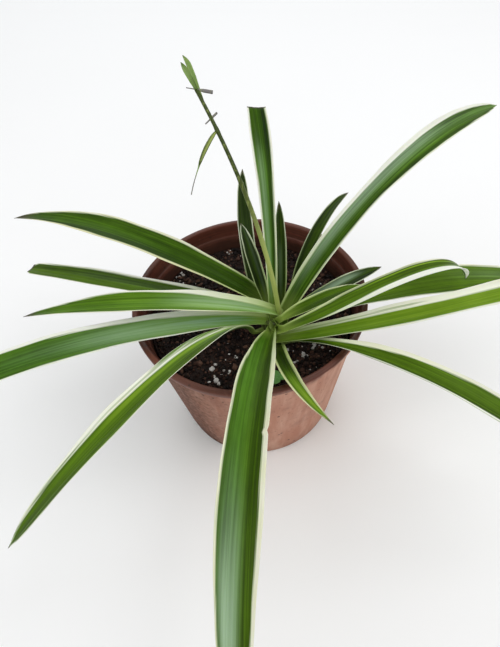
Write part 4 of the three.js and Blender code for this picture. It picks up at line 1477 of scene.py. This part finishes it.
@dataclass
class Stalk:
    """The flower stalk with its bract, its hanging leaf and two dry twigs."""

    arch: Arch = Arch((16, -14.5, 86), 131.5, -8.3, 127, 84.5, 42.2, 1.3)
    foot: float = 1.9
    top: float = 0.9
    knots: tuple[float, ...] = (0.42, 0.66, 0.852)
    bract_at: float = 0.945
    hanging_at: float = 0.852
    twigs: tuple[Twig, ...] = (
        Twig(1, 4.2, -12, -10, 11.5, 0.22, 0.8),
        Twig(0.895, 3.5, 32, 23, 7, 0.3, 0.5),
    )
    bract_outline: Pairs = ((0, 0.3), (0.25, 0.5), (0.6, 0.92), (0.8, 1), (0.93, 0.6), (1, 0))
    hanging_outline: Pairs = (
        (0, 0.3), (0.12, 0.85), (0.3, 1), (0.48, 0.75), (0.62, 0.2), (0.75, 0.12), (1, 0.08),
    )

    def place(self, at: float) -> np.ndarray:
        """The stalk's point at a share of its length."""
        return self.arch.points(np.array([at]))[0]

    def blades(self) -> list[SmallBlade]:
        """The bract, the second tip inside it, and the hanging leaf.

        Returns:
            The blades, from their places on the stalk.
        """
        root, low = tuple(self.place(self.bract_at)), tuple(self.place(self.hanging_at))
        outer = ((0, 1.2), (0.3, 2), (0.85, 1.9), (1, 1.5))
        inner = ((0, 1.2), (0.3, 1.7), (0.8, 1.8), (1, 1.45))
        dried = ((0, 0.1), (0.45, 0.3), (0.7, 2.6), (1, 3))
        return [
            SmallBlade(Arch(root, 115.5, 3, 21.5, 47, 2, 1, 20), 2.7, self.bract_outline, 0.85, outer, -0.35),
            SmallBlade(Arch(root, 121, 14, 19, 46, -4, 1, -30), 2.3, self.bract_outline, 0.7, inner, -0.2),
            SmallBlade(Arch(low, 235, -27, 31, -10, 60, 0.65), 2.3, self.hanging_outline, 0.6, dried, 0.7),
        ]

    def build(self, finish: Material) -> None:
        """Makes the stalk with what grows on it.

        Args:
            finish: the stalk's material.
        """
        piece = Piece()
        s = np.linspace(0.02, 1, 90)
        radius = self.foot + (self.top - self.foot) * s
        for knot in self.knots:
            radius = radius + 0.25 * np.exp(-(((s - knot) / 0.008) ** 2))
        kind = np.interp(s, (0, 0.36, 0.7), (0, 0.15, 1))
        add_tube(piece, self.arch.points(s), radius, 16, 0.75, kind=kind)
        for blade in self.blades():
            blade.add_to(piece)
        for twig in self.twigs:
            twig.add_to(piece, self.place(twig.at))
        piece.build("flower_stalk_spray", finish, "stalk", ["flower_stalk"])


@dataclass
class Crown:
    """The short stem that the sheaths clasp, standing in the soil, as rings of height and radius."""

    rows: Pairs = (
        (72, 7.6), (76, 7.8), (80, 8.0), (82.5, 8.2), (84.5, 7.6), (86, 6.2),
        (87, 4.4), (87.6, 2.4), (87.8, 1.2),
    )
    tip: float = 87.9
    sides: int = 64

    def build(self, finish: Material) -> None:
        """Makes the stem as a ribbed knob that follows the crown's lean.

        Args:
            finish: the stem's material.
        """
        angle = np.linspace(0, 2 * math.pi, self.sides, endpoint=False)
        points = []
        for z, r in self.rows:
            ribbed = r * (1 + 0.06 * np.cos(5 * angle + z * 0.35) + 0.02 * np.cos(17 * angle))
            x = CROWN[0] + ribbed * np.cos(angle)
            y = CROWN[1] + CROWN_LEAN * max(0, z - SOIL_TOP) + ribbed * np.sin(angle)
            points.append(np.stack([x, y, np.full(self.sides, z)], 1))
        points.append([(*CROWN, self.rows[0][0]), (CROWN[0], CROWN[1] + CROWN_LEAN * 8, self.tip)])
        piece = Piece()
        piece.add(np.concatenate(points), rod_faces(len(self.rows), self.sides), kind=0.8)
        piece.build("crown_stem", finish, "crown", ["crown"])


@dataclass(frozen=True)
class SeedlingFinish:
    """Thin bright green leaflets."""

    green: Colour = (0.080, 0.260, 0.045)
    pale: Colour = (0.200, 0.420, 0.120)

    def make(self) -> Material:
        """The material, mottled at random.

        Returns:
            The finished material.
        """
        g = Graph("seedling_leaf")
        return g.surface(
            g.mix(g.noise(g.place(), 700.0), self.green, self.pale),
            0.5,
            g.bump(g.noise(g.place(), 1500.0), 0.1, 0.5),
            Subsurface_Weight=0.15,
            Subsurface_Radius=FLESH,
            Subsurface_Scale=0.001,
        )


@dataclass
class Seedling:
    """A weed with three rounded leaflets on a thin stem."""

    place: tuple[float, float] = (11.0, -49.0)
    height: float = 5.0
    root: float = 3.8
    leaflets: int = 3
    half_width: float = 2.1
    gap: float = 0.3
    length: float = 4.3
    thick: float = 0.3

    def add_leaflet(self, piece: Piece, turn: float) -> None:
        """Adds one cupped leaflet.

        Args:
            piece: the mesh that it joins.
            turn: the way that it points, in radians.
        """
        x, y = self.place
        s, across = np.linspace(0, 1, 14), np.linspace(-1, 1, 11)
        half = self.half_width * np.sin(np.pi * np.clip(s, 0.02, 0.985) ** 0.8) ** 0.6
        u = half[:, None] * across[None]
        r = np.broadcast_to((self.gap + self.length * s)[:, None], u.shape)
        lift = 0.35 * np.sin(s * 2.2)[:, None] + 0.11 * np.abs(u)
        cos, sin = math.cos(turn), math.sin(turn)
        top = np.stack([x + r * cos - u * sin, y + r * sin + u * cos, SOIL_TOP + self.height + lift], -1)
        low = top - np.array([0, 0, self.thick])
        piece.add(*strap(top, low))

    def build(self, finish: Material) -> None:
        """Makes the stem and its leaflets.

        Args:
            finish: the seedling's material.
        """
        piece = Piece()
        levels = SOIL_TOP + np.array([-self.root, self.height - 4, self.height])
        line = np.array([(*self.place, z) for z in levels])
        add_tube(piece, line, np.array([0.55, 0.5, 0.4]), 10)
        for i in range(self.leaflets):
            self.add_leaflet(piece, 2 * math.pi * i / self.leaflets)
        piece.build("seedling_weed", finish, "seedling", ["seedling"])


@dataclass
class Studio:
    """The pale floor, the soft lights and the camera.

    The eye is in millimetres and what the lights face in metres. Angles are in degrees.
    """

    eye: tuple[float, float, float] = (1.1, -189.5, 301.0)
    yaw: float = -0.6
    pitch: float = 50.6
    roll: float = -6.1
    lens: float = 28.0
    sky_strength: float = 0.6
    aim: tuple[float, float, float] = (0.0, 0.0, 0.09)

    def floor(self) -> None:
        """Lays the floor."""
        mesh = bpy.data.meshes.new("floor")
        mesh.from_pydata([(-4, -4, 0), (4, -4, 0), (4, 4, 0), (-4, 4, 0)], [], [(0, 1, 2, 3)])
        g = Graph("pale_floor")
        colour = g.mix(g.noise(g.place(), 3.0), (0.93, 0.93, 0.93), (0.96, 0.96, 0.96))
        mesh.materials.append(g.surface(colour, 0.85))
        piece = bpy.data.objects.new("floor", mesh)
        bpy.context.scene.collection.objects.link(piece)

    def light(
        self,
        name: str,
        place: tuple[float, float, float],
        size: float,
        power: float,
        colour: Colour = (1, 1, 1),
    ) -> None:
        """Hangs one square soft light that faces the plant.

        Args:
            name: its name.
            place: where it hangs, in metres.
            size: its side, in metres.
            power: its power, in watts.
            colour: its tint.
        """
        lamp = bpy.data.lights.new(name, "AREA")
        lamp.size, lamp.energy, lamp.color = size, power, colour
        piece = bpy.data.objects.new(name, lamp)
        piece.location = place
        piece.rotation_euler = (Vector(self.aim) - Vector(place)).to_track_quat("-Z", "Y").to_euler()
        bpy.context.scene.collection.objects.link(piece)

    def sky(self) -> None:
        """Sets a pale even surround."""
        world = bpy.data.worlds.new("surround")
        world.use_nodes = True
        background = world.node_tree.nodes["Background"]
        background.inputs["Color"].default_value = (1.0, 1.0, 1.0, 1)
        background.inputs["Strength"].default_value = self.sky_strength
        bpy.context.scene.world = world

    def camera(self) -> None:
        """Sets the camera at the photograph's viewing angle."""
        yaw, pitch, roll = (math.radians(a) for a in (self.yaw, self.pitch, self.roll))
        ahead = Vector((math.sin(yaw) * math.cos(pitch), math.cos(yaw) * math.cos(pitch), -math.sin(pitch)))
        right = Vector((math.cos(yaw), -math.sin(yaw), 0))
        up = right.cross(ahead)
        x = math.cos(roll) * right + math.sin(roll) * up
        y = -math.sin(roll) * right + math.cos(roll) * up
        data = bpy.data.cameras.new("camera")
        data.lens, data.sensor_fit = self.lens, "VERTICAL"
        data.sensor_height, data.sensor_width = 36.0, 36.0
        piece = bpy.data.objects.new("camera", data)
        turned = Matrix((x, y, -ahead)).transposed().to_4x4()
        piece.matrix_world = Matrix.Translation(Vector(self.eye) * MM) @ turned
        bpy.context.scene.collection.objects.link(piece)
        bpy.context.scene.camera = piece

    def build(self) -> None:
        """Sets the whole stage."""
        self.floor()
        self.sky()
        self.light("right_softbox", (0.85, -0.15, 1.15), 1.0, 6.6)
        self.light("back_window", (-0.1, 1.15, 1.1), 1.0, 4.5, (0.9, 0.96, 1.0))
        self.light("left_fill", (-1.0, -0.5, 1.1), 1.1, 5.0)
        self.camera()
        bpy.context.scene.view_settings.view_transform = "Standard"


def main() -> None:
    """Builds every piece in order, from the pot to the stage."""
    Pot().build(PotFinish().make())
    Soil().build(SoilFinish().make(), PerliteFinish().make())
    stem = StemFinish().make()
    Crown().build(stem)
    skin = LeafFinish().make()
    for leaf in LEAVES:
        leaf.build(skin)
    Stalk().build(stem)
    Seedling().build(SeedlingFinish().make())
    Studio().build()


if __name__ == "__main__":
    logging.basicConfig(level=logging.INFO, format="%(message)s")
    main()
